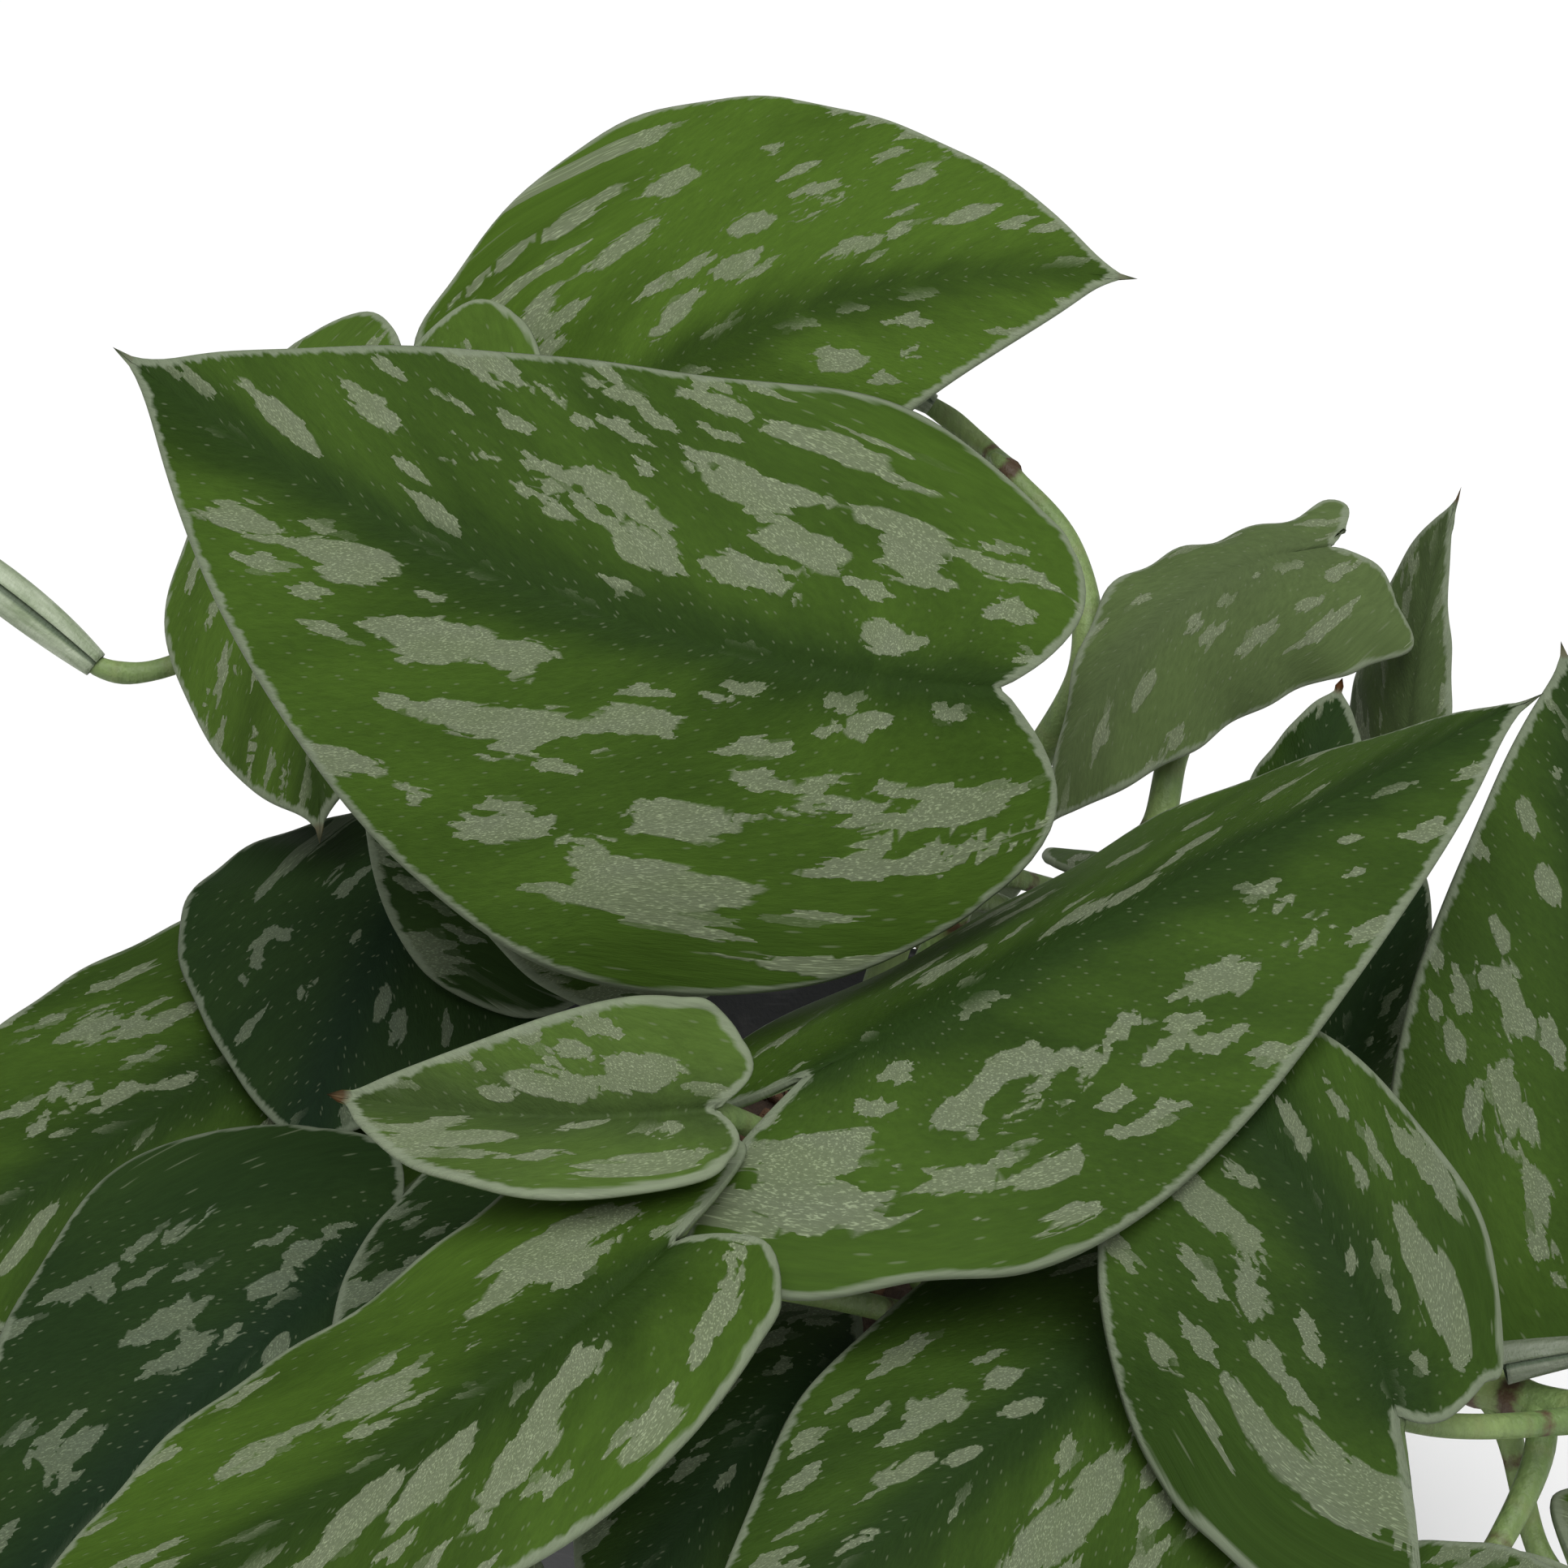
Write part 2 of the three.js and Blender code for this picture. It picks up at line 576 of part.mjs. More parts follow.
function stemWithStalks(name) {
  const tapered = (share) => STEM_RADIUS * (1 - 0.55 * share ** 6);
  const sheathed = (share) => THREE.MathUtils.lerp(SHEATH_RADIUS, PETIOLE_RADIUS, Math.min(1, 3 * share));
  const rod = rodAlong(stemCurve(name), STEM_STEPS, tapered, STEM_SIDES);
  let body = rootedFoot(name).add(manifoldOf(rod.points, rod.triangles));
  const seats = [
    ...Object.values(LEAVES).map((leaf) => [leaf, leafSeat(leaf)]),
    ...Object.values(ROLLED_LEAVES).map((leaf) => [leaf, rolledLeafSeat(leaf)]),
  ];
  for (const [leaf, seat] of seats.filter(([each]) => each.stem === name)) {
    const stalk = rodAlong(stalkCurve(leaf, seat), PETIOLE_STEPS, sheathed, PETIOLE_SIDES);
    body = body.add(manifoldOf(stalk.points, stalk.triangles));
  }
  return geometryOfManifold(body);
}

// A spindle: narrow at the stalk, widest a third of the way along, drawn out to a blunt tip.
function rolledLeaf({ base, tip, radius }) {
  const start = place(base);
  const end = place(tip);
  const middle = start.clone().lerp(end, 0.5).add(new THREE.Vector3(0, 0, 0.06 * start.distanceTo(end)));
  const curve = new THREE.QuadraticBezierCurve3(start, middle, end);
  const spindle = (share) => radius * (0.35 + 0.65 * Math.sin(Math.PI * Math.min(1, 0.15 + share) ** 0.7));
  const rod = rodAlong(curve, 8, spindle, 8);
  return geometryOf(rod.points, rod.triangles);
}

// ---- the plant ----
const plant = new THREE.Group();
plant.name = 'potted_satin_pothos';

function addPiece(name, geometry, colour, roughness) {
  const material = new THREE.MeshStandardMaterial({ color: colour, roughness, metalness: 0 });
  const piece = new THREE.Mesh(geometry, material);
  piece.name = name;
  plant.add(piece);
}

addPiece('pot', pot(), COLOURS.pot, 0.6);
addPiece('soil', soil(), COLOURS.soil, 0.95);
for (const name of Object.keys(STEMS)) {
  addPiece(name, stemWithStalks(name), COLOURS.stem, 0.5);
}
for (const [name, leaf] of Object.entries(LEAVES)) {
  addPiece(name, blade(leaf), COLOURS.leaf, 0.45);
}
for (const [name, leaf] of Object.entries(ROLLED_LEAVES)) {
  addPiece(name, rolledLeaf(leaf), COLOURS.rolledLeaf, 0.5);
}

export default plant;
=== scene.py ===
"""A potted satin pothos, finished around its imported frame.

Every blade is worked out from the plain blade of the frame: its rows of points are side veins, from the
right margin over the midrib to the left margin. Stems, stalks, rolled leaves, soil and pot are made afresh.
Metres, +Z up, the pot's underside on z = 0; values named _MM and the tables of growth are millimetres.
"""

import bpy
import numpy as np
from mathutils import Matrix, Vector


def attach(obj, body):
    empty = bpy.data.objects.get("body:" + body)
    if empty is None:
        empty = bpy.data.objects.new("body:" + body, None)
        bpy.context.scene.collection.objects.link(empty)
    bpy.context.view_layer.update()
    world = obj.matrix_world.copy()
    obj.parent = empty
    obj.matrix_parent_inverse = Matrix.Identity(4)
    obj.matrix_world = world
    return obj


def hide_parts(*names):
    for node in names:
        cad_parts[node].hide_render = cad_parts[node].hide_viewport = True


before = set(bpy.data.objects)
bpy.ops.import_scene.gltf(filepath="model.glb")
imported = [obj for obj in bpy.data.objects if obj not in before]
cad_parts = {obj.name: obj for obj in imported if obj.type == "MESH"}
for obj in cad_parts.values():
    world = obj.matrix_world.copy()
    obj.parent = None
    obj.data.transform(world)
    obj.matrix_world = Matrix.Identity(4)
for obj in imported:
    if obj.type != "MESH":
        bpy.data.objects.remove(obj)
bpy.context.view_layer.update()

MM = 0.001
SEED = 41

# ---- the frame's plain blades ----
VEIN_ROWS = 10
VEIN_COLUMNS = 5
SAME_POINT_DIGITS = 6

# ---- fine blades ----
BLADE_ROWS = 84
HALF_BLADE_COLUMNS = 20
BLADE_MM = 1.0
MARGIN_ROUND_MM = 0.6
GROOVE_MM = 0.4
RIDGE_MM = 0.9
QUILT_MM = 0.1
VEIN_SPACING_MM = 7.5
VEIN_SWEEP = 1.05
VEIN_STRETCH = (1 + VEIN_SWEEP**2) ** 0.5
LOBE_ROWS = 3
LOBE_BULGE = 0.14
WAVE_MM = 0.8
FULL_WAVE_REACH_MM = 25
PATCH_LIFT = 0.48
PATCH_REST = 0.185

# ---- stems ----
STEM_MM = 2.3
SHEATH_MM = 1.9
PETIOLE_MM = 1.4
STEM_STEPS = 150
STALK_STEPS = 40
STEM_SIDES = 16
STEM_FOOT_MM = 72
STEM_COLLAR_MM = 99
NODE_SPREAD_MM = 1.6
NODE_SWELL = 0.16
KNEE_FROM_BLADE_MM = 5
KNEE_SPREAD_MM = 2.5
KNEE_SWELL = 0.14
SHEATH_SHARE = 1 / 3
BLADE_GAP_MM = 0.3

# ---- rolled leaves ----
ROLL_TURNS = 2.5
ROLL_START = 0.9
ROLL_STEPS = 60
ROLL_ROUND = 110
ROLL_SHEET = 0.24 * MM

# ---- pot and soil, as in the frame ----
POT_HEIGHT = 110 * MM
POT_FOOT = 44 * MM
POT_SHOULDER = 60 * MM
POT_RIM = 65 * MM
POT_BAND = 14 * MM
POT_WALL = 2.4 * MM
POT_FLOOR = 3 * MM
DRAIN_HOLES = 6
DRAIN_RADIUS = 4.5 * MM
DRAIN_CIRCLE = 0.62 * POT_FOOT
SOIL_TOP = 96 * MM
SOIL_DOME = 2.5 * MM
POT_SIDES = 144
POT_SHARP = np.radians(40)
SOIL_GAP = 0.4 * MM
SOIL_ROUGH = 0.9 * MM
BARK_CHIPS = 420
PERLITE_GRAINS = 70

# The points each stem passes through above its foot in the soil, in millimetres.
STEMS = {
    "centre": [(6, -6), (7, -7, 122), (12, -4, 142), (17, -6, 160), (22, -14, 176)],
    "left": [(-34, 2), (-37, 6, 118), (-42, 14, 140), (-52, 26, 160), (-60, 36, 174)],
    "front_left": [(-24, -26), (-28, -34, 114), (-32, -42, 122), (-30, -50, 128)],
    "front": [(8, -34), (12, -42, 112), (18, -50, 118), (22, -58, 124)],
    "front_right": [
        (38, -26), (50, -34, 114), (68, -50, 120), (86, -66, 124), (98, -74, 130), (107, -76, 137),
    ],
    "right": [(32, 18), (40, 22, 118), (50, 34, 144), (53, 40, 154), (63, 50, 160)],
    "back_left": [(-20, 26), (-26, 34, 118), (-30, 42, 144), (-30, 50, 166), (-26, 54, 180)],
    "back_right": [(14, 34), (20, 42, 118), (32, 42, 146), (40, 40, 166), (38, 50, 178), (28, 58, 188)],
}

# Each leaf: the stem it grows on, the share of the stem where its stalk leaves, the stalk's sway on the way,
# how far it meets the blade from below, how much painted shade darkens the blade and how much of it is
# silver.
LEAVES = {
    "crown_front": ("centre", 1, (0, 0, 0), 0.9, 0.34, 0.5),
    "crown_back": ("back_left", 1, (0, 0, 0), 0.9, 0.0, 0.5),
    "left_upper": ("left", 1, (-3, -6, 4), 0.6, 0.15, 0.3),
    "left_shaded": ("left", 0.63, (4, -3, -1), 0.75, 1.0, 0.35),
    "left_outer": ("left", 0.43, (1, -1, -1), 0.6, 0.45, 0.6),
    "left_front": ("front_left", 0.81, (-2, 1, 0), 0.97, 0.95, 0.45),
    "left_inner": ("front_left", 0.97, (0, 3, 1), 0.6, 0.9, 0.4),
    "front_long": ("front", 0.76, (-1, 7, 3), 0.97, 0.3, 0.6),
    "front_young": ("front", 0.74, (-5, 4, 8), 0.75, 0.1, 0.85),
    "right_long": ("front", 0.82, (0, 5, 1), 0.97, 0.42, 0.55),
    "right_front": ("front_right", 0.78, (-3, 2, 0), 0.97, 0.55, 0.5),
    "right_outer": ("front_right", 0.59, (0, 2, -2), 0.75, 0.5, 0.6),
    "right_back": ("right", 1, (0, 0, 0), 0.9, 0.25, 0.35),
    "right_tall": ("right", 0.45, (6, 2, -8), 0.75, 0.5, 0.4),
    "right_small": ("right", 0.64, (0, 0, 0), 0.9, 0.6, 0.4),
    "right_inner": ("front_right", 0.28, (-3, 3, 1), 0.6, 0.8, 0.5),
    "front_low": ("front", 0.85, (0, 1, -1), 0.97, 0.5, 0.6),
    "front_shaded": ("front", 0.69, (-4, 1, 0), 0.9, 0.8, 0.6),
    "centre_shaded": ("centre", 0.65, (-2, 0, -1), 0.6, 0.85, 0.4),
    "centre_under": ("centre", 0.72, (-1, 0, 0), 0.6, 0.6, 0.4),
    "right_low": ("front_right", 0.67, (-1, 1, 0), 0.97, 0.6, 0.5),
    "skirt_front_left": ("front_left", 0.98, (-1, 0, -2), 0.9, 0.4, 0.5),
    "skirt_front": ("front", 0.78, (0, 0, -2), 0.75, 0.5, 0.55),
    "skirt_front_right": ("front_right", 0.62, (0, 0, -2), 0.9, 0.35, 0.5),
    "skirt_left": ("left", 0.28, (0, -2, -2), 0.6, 0.45, 0.5),
    "skirt_back_left": ("back_left", 0.29, (-1, 1, -2), 0.6, 0.3, 0.6),
    "back_left": ("back_left", 0.82, (0, 2, -2), 0.9, 0.2, 0.5),
    "back_middle": ("back_left", 1, (0, 1, -2), 0.6, 0.1, 0.55),
    "back_inner": ("back_right", 0.37, (-1, 2, -2), 0.97, 0.4, 0.5),
    "skirt_back": ("back_left", 0.39, (0, 1, -3), 0.6, 0.45, 0.55),
    "skirt_back_middle": ("back_right", 0.28, (-1, 0, -3), 0.6, 0.4, 0.5),
    "skirt_back_right": ("back_right", 0.28, (-1, 1, -2), 0.6, 0.3, 0.6),
    "skirt_right": ("right", 0.38, (0, -1, -2), 0.6, 0.4, 0.5),
    "skirt_right_front": ("front_right", 0.28, (-1, 1, -1), 0.6, 0.35, 0.55),
    "inner_right": ("right", 0.28, (0, 0, -2), 0.9, 0.6, 0.4),
    "inner_middle": ("centre", 0.37, (0, 0, 0), 0.6, 0.7, 0.4),
    "back_right": ("back_right", 0.32, (-1, 1, -1), 0.6, 0.3, 0.5),
    "back_inner_left": ("back_left", 0.46, (-3, 2, -5), 0.6, 0.4, 0.5),
    "left_back": ("left", 0.45, (-4, -1, -2), 0.6, 0.3, 0.5),
}

# Silver patches, three numbers each: distance left of the midrib, distance along from the base, radius.
PATCHES = {
    "crown_front": [
        -5, 93, 4, -12, 75, 3, -23, 49, 4, -13, 61, 3, -11, 57, 4, -13, 48, 4, -9, 47, 5, -8, 39, 2,
        -8, 35, 3, -25, 33, 3, -28, 21, 3, -19, 28, 3, -19, 24, 3, -26, 16, 3, -13, 26, 4, -18, 16, 3,
        -14, 17, 4, -5, 21, 4, -18, 10, 3, -12, 8, 2, 5, 80, 4, 5, 71, 2, 10, 65, 5, 8, 58, 3, 16, 50, 4,
        14, 45, 5, 11, 42, 4, 25, 48, 3, 26, 39, 2, 25, 32, 4, 25, 22, 3, 29, 14, 3, 19, 23, 3, 25, 16, 3,
        14, 23, 3, 14, 17, 4, 5, 18, 3, 20, 11, 2, 14, 9, 3, 20, 7, 2, 32, 5, 2, 5, 38, 2, 7, 90, 3,
    ],
    "crown_back": [
        16, 11, 4, 20, 15, 3, 27, 13, 3, 16, 34, 3, 10, 39, 3, 16, 43, 3, 7, 57, 3, 28, 24, 2, 17, 53, 2,
        10, 69, 3, 7, 33, 3, -8, 53, 3, -9, 61, 2, 28, 6, 2,
    ],
    "right_long": [
        8, 27, 3, 21, 19, 3, 4, 47, 3, 3, 56, 3, 8, 57, 3, -8, 64, 2, -13, 50, 3, -16, 38, 3, -12, 39, 2,
        -10, 27, 3, -14, 30, 3, -16, 22, 3, -12, 20, 2, -23, 15, 2, -28, 10, 2, -24, 9, 1, -19, 12, 2,
        -12, 10, 3, -15, 7, 3, -19, 7, 3, -8, 3, 2, -22, 4, 2, -19, 40, 2, -14, 60, 2, -14, 5, 2,
    ],
    "front_long": [
        -10, 15, 4, -9, 19, 3, -6, 15, 3, -9, 35, 4, -5, 29, 2, -13, 41, 3, 4, 24, 4, 5, 27, 3, 8, 30, 4,
        4, 43, 4, 3, 54, 4, 14, 14, 2, 10, 8, 3, -10, 9, 2, 12, 11, 1, 9, 4, 1,
    ],
    "right_front": [
        -10, 30, 2, -7, 27, 2, -4, 41, 2, 9, 32, 4, 11, 20, 3, 11, 14, 3, 16, 6, 3, -15, 14, 3, -9, 18, 2,
        -8, 14, 3, -9, 11, 3, -1, 28, 2, 3, 29, 2, 11, 7, 2, 11, 4, 3, 13, 3, 2, 16, 4, 2, 21, 10, 2,
        9, 27, 3, 5, 40, 2,
    ],
    "front_low": [
        -7, 38, 3, -5, 31, 2, -4, 48, 3, 11, 29, 5, 11, 35, 4, -2, 62, 3, -1, 47, 2, -11, 35, 2, -1, 37, 2,
    ],
    "front_young": [
        -3, 21, 4, 5, 23, 3, 1, 17, 2, -4, 9, 3, 7, 12, 2, 2, 30, 2, 6, 6, 2, -7, 15, 2, 2, 7, 2, -2, 27, 2,
        4, 30, 2,
    ],
    "right_outer": [
        18, 14, 2, 12, 30, 4, 13, 19, 3, 7, 50, 2, 21, 4, 2, 10, 12, 2, 19, 19, 2, 15, 30, 2, 10, 7, 2,
        13, 38, 2, 8, 57, 2,
    ],
    "left_outer": [
        -16, 20, 4, -12, 19, 3, -7, 44, 2, -9, 37, 2, -2, 33, 2, 4, 54, 2, -5, 37, 2, 6, 56, 2,
    ],
    "left_front": [
        -20, 19, 3, -16, 22, 2, -10, 28, 3, -4, 36, 3, -4, 23, 3, 2, 31, 2, -6, 50, 3, -4, 55, 2, -9, 49, 2,
        -3, 32, 2, -18, 10, 2, -20, 13, 1, -6, 15, 2,
    ],
    "left_shaded": [
        -19, 3, 3, -4, 26, 2, -7, 31, 2, 3, 36, 3, 6, 34, 2, -15, 20, 2, -12, 8, 2, -14, 16, 1,
    ],
    "left_upper": [
        -21, 19, 2, -13, 50, 2, -17, 34, 2, -7, 63, 2, -23, 28, 1,
    ],
    "right_back": [
        5, 38, 2, 3, 30, 2, 2, 18, 2, 9, 10, 2, 7, 5, 2, 13, 31, 2, 13, 19, 1, 3, 49, 2,
    ],
}
# Margin points drawn in towards the midrib: row, column and share of the way.
SHOULDERS = {
    "crown_front": [(2, 0, 0.06), (3, 1, 0.08), (3, 0, 0.18), (1, 4, 0.1), (2, 4, 0.08), (3, 4, 0.03)],
}
# How far each young blade is towards the pale green of a new leaf.
YOUNG = {"front_young": 0.3, "right_back": 0.9, "right_tall": 0.6, "left_upper": 0.1}

# Each rolled leaf: its stem, share and sway, then base, tip and greatest radius of the roll, whether its end
# is open, and how bright it is painted: above 1 painted light, below 1 painted shade.
ROLLED_LEAVES = {
    "rolled_leaf_left": ("left", 1, (0, 0, -1), (-90, 34, 168), (-126, 44, 192), 3.2, False, 1.4),
    "rolled_leaf_right": ("front_right", 1, (7, -5, 2), (112, -66, 134), (79, -65, 129), 3.2, True, 0.65),
    "rolled_leaf_back": ("back_right", 0.97, (2, 5, -4), (20, 66, 192), (-8, 70, 206), 2.6, False, 1.0),
}


# ---- shapes ----
def unit(vectors):
    """Vectors divided by their lengths."""
    return vectors / np.maximum(np.linalg.norm(vectors, axis=-1, keepdims=True), 1e-12)


def spline(knots, values, at):
    """A smooth curve: between two knots a cubic whose end slopes are those of a parabola through each knot
    and its neighbours."""
    slopes = np.gradient(values, knots, axis=0)
    k = np.clip(np.searchsorted(knots, at, side="right") - 1, 0, len(knots) - 2)
    shape = (-1,) + (1,) * (values.ndim - 1)
    width = (knots[k + 1] - knots[k]).reshape(shape)
    x = (at - knots[k]).reshape(shape) / width
    bend = slopes[k] * (x - 2 * x**2 + x**3) + slopes[k + 1] * (x**3 - x**2)
    return values[k] * (1 - 3 * x**2 + 2 * x**3) + values[k + 1] * (3 * x**2 - 2 * x**3) + bend * width


def between_rings(number):
    """Four-sided faces between neighbouring rings of points, given the points' numbers."""
    beside = np.roll(number, -1, axis=1)
    return np.stack([number[:-1], number[1:], beside[1:], beside[:-1]], -1).reshape(-1, 4).tolist()


def skin(rings, first, last):
    """A closed surface over a stack of rings that run clockwise about the direction of travel. It narrows
    to a point at each end. Returns points and faces."""
    n, m = rings.shape[:2]
    number = 1 + np.arange(n * m).reshape(n, m)
    beside = np.roll(number[[0, -1]], -1, axis=1)
    start = np.stack([np.zeros(m, int), number[0], beside[0]], -1)
    end = np.stack([np.full(m, n * m + 1), beside[-1], number[-1]], -1)
    points = np.concatenate([[first], rings.reshape(-1, 3), [last]])
    return points, between_rings(number) + start.tolist() + end.tolist()


def piece(name, bodies, looks, **fields):
    """One object from one or more (points, faces), with a named value or vector for every point."""
    counts = np.cumsum([0] + [len(points) for points, _ in bodies])
    points = np.concatenate([points for points, _ in bodies])
    faces = [[c + int(n) for c in face] for (_, body), n in zip(bodies, counts) for face in body]
    mesh = bpy.data.meshes.new(name)
    mesh.from_pydata(points.tolist(), [], faces)
    mesh.polygons.foreach_set("use_smooth", np.ones(len(faces), bool))
    for field, values in fields.items():
        values = np.asarray(values, np.float32)
        kind, slot = ("FLOAT", "value") if values.ndim == 1 else ("FLOAT_VECTOR", "vector")
        mesh.attributes.new(field, kind, "POINT").data.foreach_set(slot, values.ravel())
    mesh.materials.append(looks)
    mesh.update()
    thing = bpy.data.objects.new(name, mesh)
    bpy.context.scene.collection.objects.link(thing)
    return thing


def settle(thing, nodes):
    """The piece stands for its frame nodes and moves with the plant."""
    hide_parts(*nodes)
    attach(thing, "root")


def tube(path, radii, sides=STEM_SIDES):
    """A round rod: circles set square to the path, closed by a blunt point at each end."""
    tangents = unit(np.gradient(path, axis=0))
    steepness = np.abs(tangents).max(axis=0)
    reference = np.eye(3)[np.argmin(steepness)]
    normals = unit(np.cross(tangents, reference))
    binormals = np.cross(tangents, normals)
    angle = np.arange(sides) * 2 * np.pi / sides
    spokes = normals[:, None] * np.cos(angle)[:, None] - binormals[:, None] * np.sin(angle)[:, None]
    rings = path[:, None] + spokes * radii[:, None, None]
    return skin(rings, path[0] - tangents[0] * 0.4 * radii[0], path[-1] + tangents[-1] * 0.4 * radii[-1])


def per_point(values, sides=STEM_SIDES):
    """Values along a tube's path, repeated round its rings and at its two ends."""
    return np.concatenate([values[:1], np.repeat(values, sides, axis=0), values[-1:]])


# ---- the frame's blades read back as rows of points ----
def blade_pattern():
    """Triangles of a plain blade: points 0 base, 1 + row * columns + column, then tip; lower face after."""
    at = 1 + np.arange(VEIN_ROWS * VEIN_COLUMNS).reshape(VEIN_ROWS, VEIN_COLUMNS)
    tip = at.max() + 1
    count = tip + 1
    upper, lower = [], []
    for j in range(VEIN_COLUMNS - 1):
        upper += [(0, at[0, j], at[0, j + 1]), (tip, at[-1, j + 1], at[-1, j])]
        lower += [(0, at[0, j + 1], at[0, j]), (tip, at[-1, j], at[-1, j + 1])]
        for i in range(VEIN_ROWS - 1):
            a, b, c, d = at[i, j], at[i, j + 1], at[i + 1, j + 1], at[i + 1, j]
            upper += [(a, c, b), (a, d, c)] if j < VEIN_COLUMNS // 2 else [(a, d, b), (b, d, c)]
            lower += [(a, b, c), (a, c, d)]
    edges = {(t[k], t[(k + 1) % 3]) for t in upper for k in range(3)}
    margin = [(a, b) for a, b in sorted(edges) if (b, a) not in edges]
    rim = [t for a, b in margin for t in ((b, a, a + count), (b, a + count, b + count))]
    lower = [tuple(c + count for c in t) for t in lower]
    return np.array(upper + lower + rim), count


def corner_after(triangles):
    """For each directed edge, the third corner of its triangle."""
    return {(t[k], t[(k + 1) % 3]): t[(k + 2) % 3] for t in triangles.tolist() for k in range(3)}


def walk(ours, theirs, start, edge):
    """Walks over two meshes side by side from one edge each; the pairs of corners met, or None where the
    meshes differ."""
    found = dict(zip(start, edge))
    waiting, seen = [start], set()
    while waiting:
        a, b = waiting.pop()
        if (a, b) in seen:
            continue
        c = ours[a, b]
        other = theirs.get((found[a], found[b]))
        if other is None or found.setdefault(c, other) != other:
            return None
        seen |= {(a, b), (b, c), (c, a)}
        waiting += [(b, a), (c, b), (a, c)]
    return found


def blade_points(node):
    """The upper face of a plain blade in order: base, rows of points by column, tip, in metres."""
    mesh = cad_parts[node].data
    places = np.empty(3 * len(mesh.vertices), np.float32)
    mesh.vertices.foreach_get("co", places)
    corners = np.empty(3 * len(mesh.polygons), np.int32)
    mesh.polygons.foreach_get("vertices", corners)
    places = np.round(places.reshape(-1, 3).astype(float), SAME_POINT_DIGITS)
    points, names = np.unique(places, axis=0, return_inverse=True)
    theirs = corner_after(names.ravel()[corners].reshape(-1, 3))
    start = tuple(PATTERN[0, :2].tolist())
    found = None
    for edge in theirs:
        found = walk(PATTERN_EDGES, theirs, start, edge)
        if found is not None:
            break
    ordered = points[[found[k] for k in range(PATTERN_COUNT)]]
    return ordered[0], ordered[1:-1].reshape(VEIN_ROWS, VEIN_COLUMNS, 3), ordered[-1]


PATTERN, PATTERN_COUNT = blade_pattern()
PATTERN_EDGES = corner_after(PATTERN)


def blade_axes(base, rows, tip):
    """Directions along the blade, to its left and up, and how far its halves droop; a half's row is a
    straight line less a cup that grows with the square of the share, which 4 * near - far cancels."""
    along = unit(tip - base)
    middle = rows[:, 2]
    left_half = 4 * (rows[:, 3] - middle) - (rows[:, 4] - middle)
    right_half = 4 * (rows[:, 1] - middle) - (rows[:, 0] - middle)
    across = [unit(h - (h @ along)[:, None] * along).mean(axis=0) for h in (left_half, right_half)]
    left = unit(across[0] - across[1])
    up = unit(np.cross(along, left))
    droop = max(0.0, -float((across[0] + across[1]) @ up) / 2)
    return along, left, up, droop


# ---- blades ----
def distance_to_line(points, line):
    """Least distance from each point to a line of straight stretches."""
    start, step = line[:-1], np.diff(line, axis=0)
    offset = points[:, None] - start
    share = np.clip((offset * step).sum(-1) / np.maximum((step**2).sum(-1), 1e-18), 0, 1)
    return np.linalg.norm(offset - share[..., None] * step, axis=-1).min(axis=1)


def column_shares():
    """Shares of the half blade from right margin to left margin, closer together at midrib and margins."""
    x = np.linspace(0, 1, HALF_BLADE_COLUMNS + 1)
    half = x - 0.11 * np.sin(2 * np.pi * x)
    return np.concatenate([-half[:0:-1], half])


def silver_places(name, across, along):
    """How much the listed patches raise the silver: the highest of round bells about their middles, less a
    rest value between them; nothing on a blade without listed patches."""
    if name not in PATCHES:
        return 0 * across
    patches = np.array(PATCHES[name], float).reshape(-1, 3)
    offset = np.stack([across, along], -1)[..., None, :] - patches[:, :2]
    offset = offset * (VEIN_STRETCH, 1 / VEIN_STRETCH)
    bells = np.exp(-(offset**2).sum(-1) / patches[:, 2] ** 2)
    return bells.max(axis=-1) * PATCH_LIFT - PATCH_REST


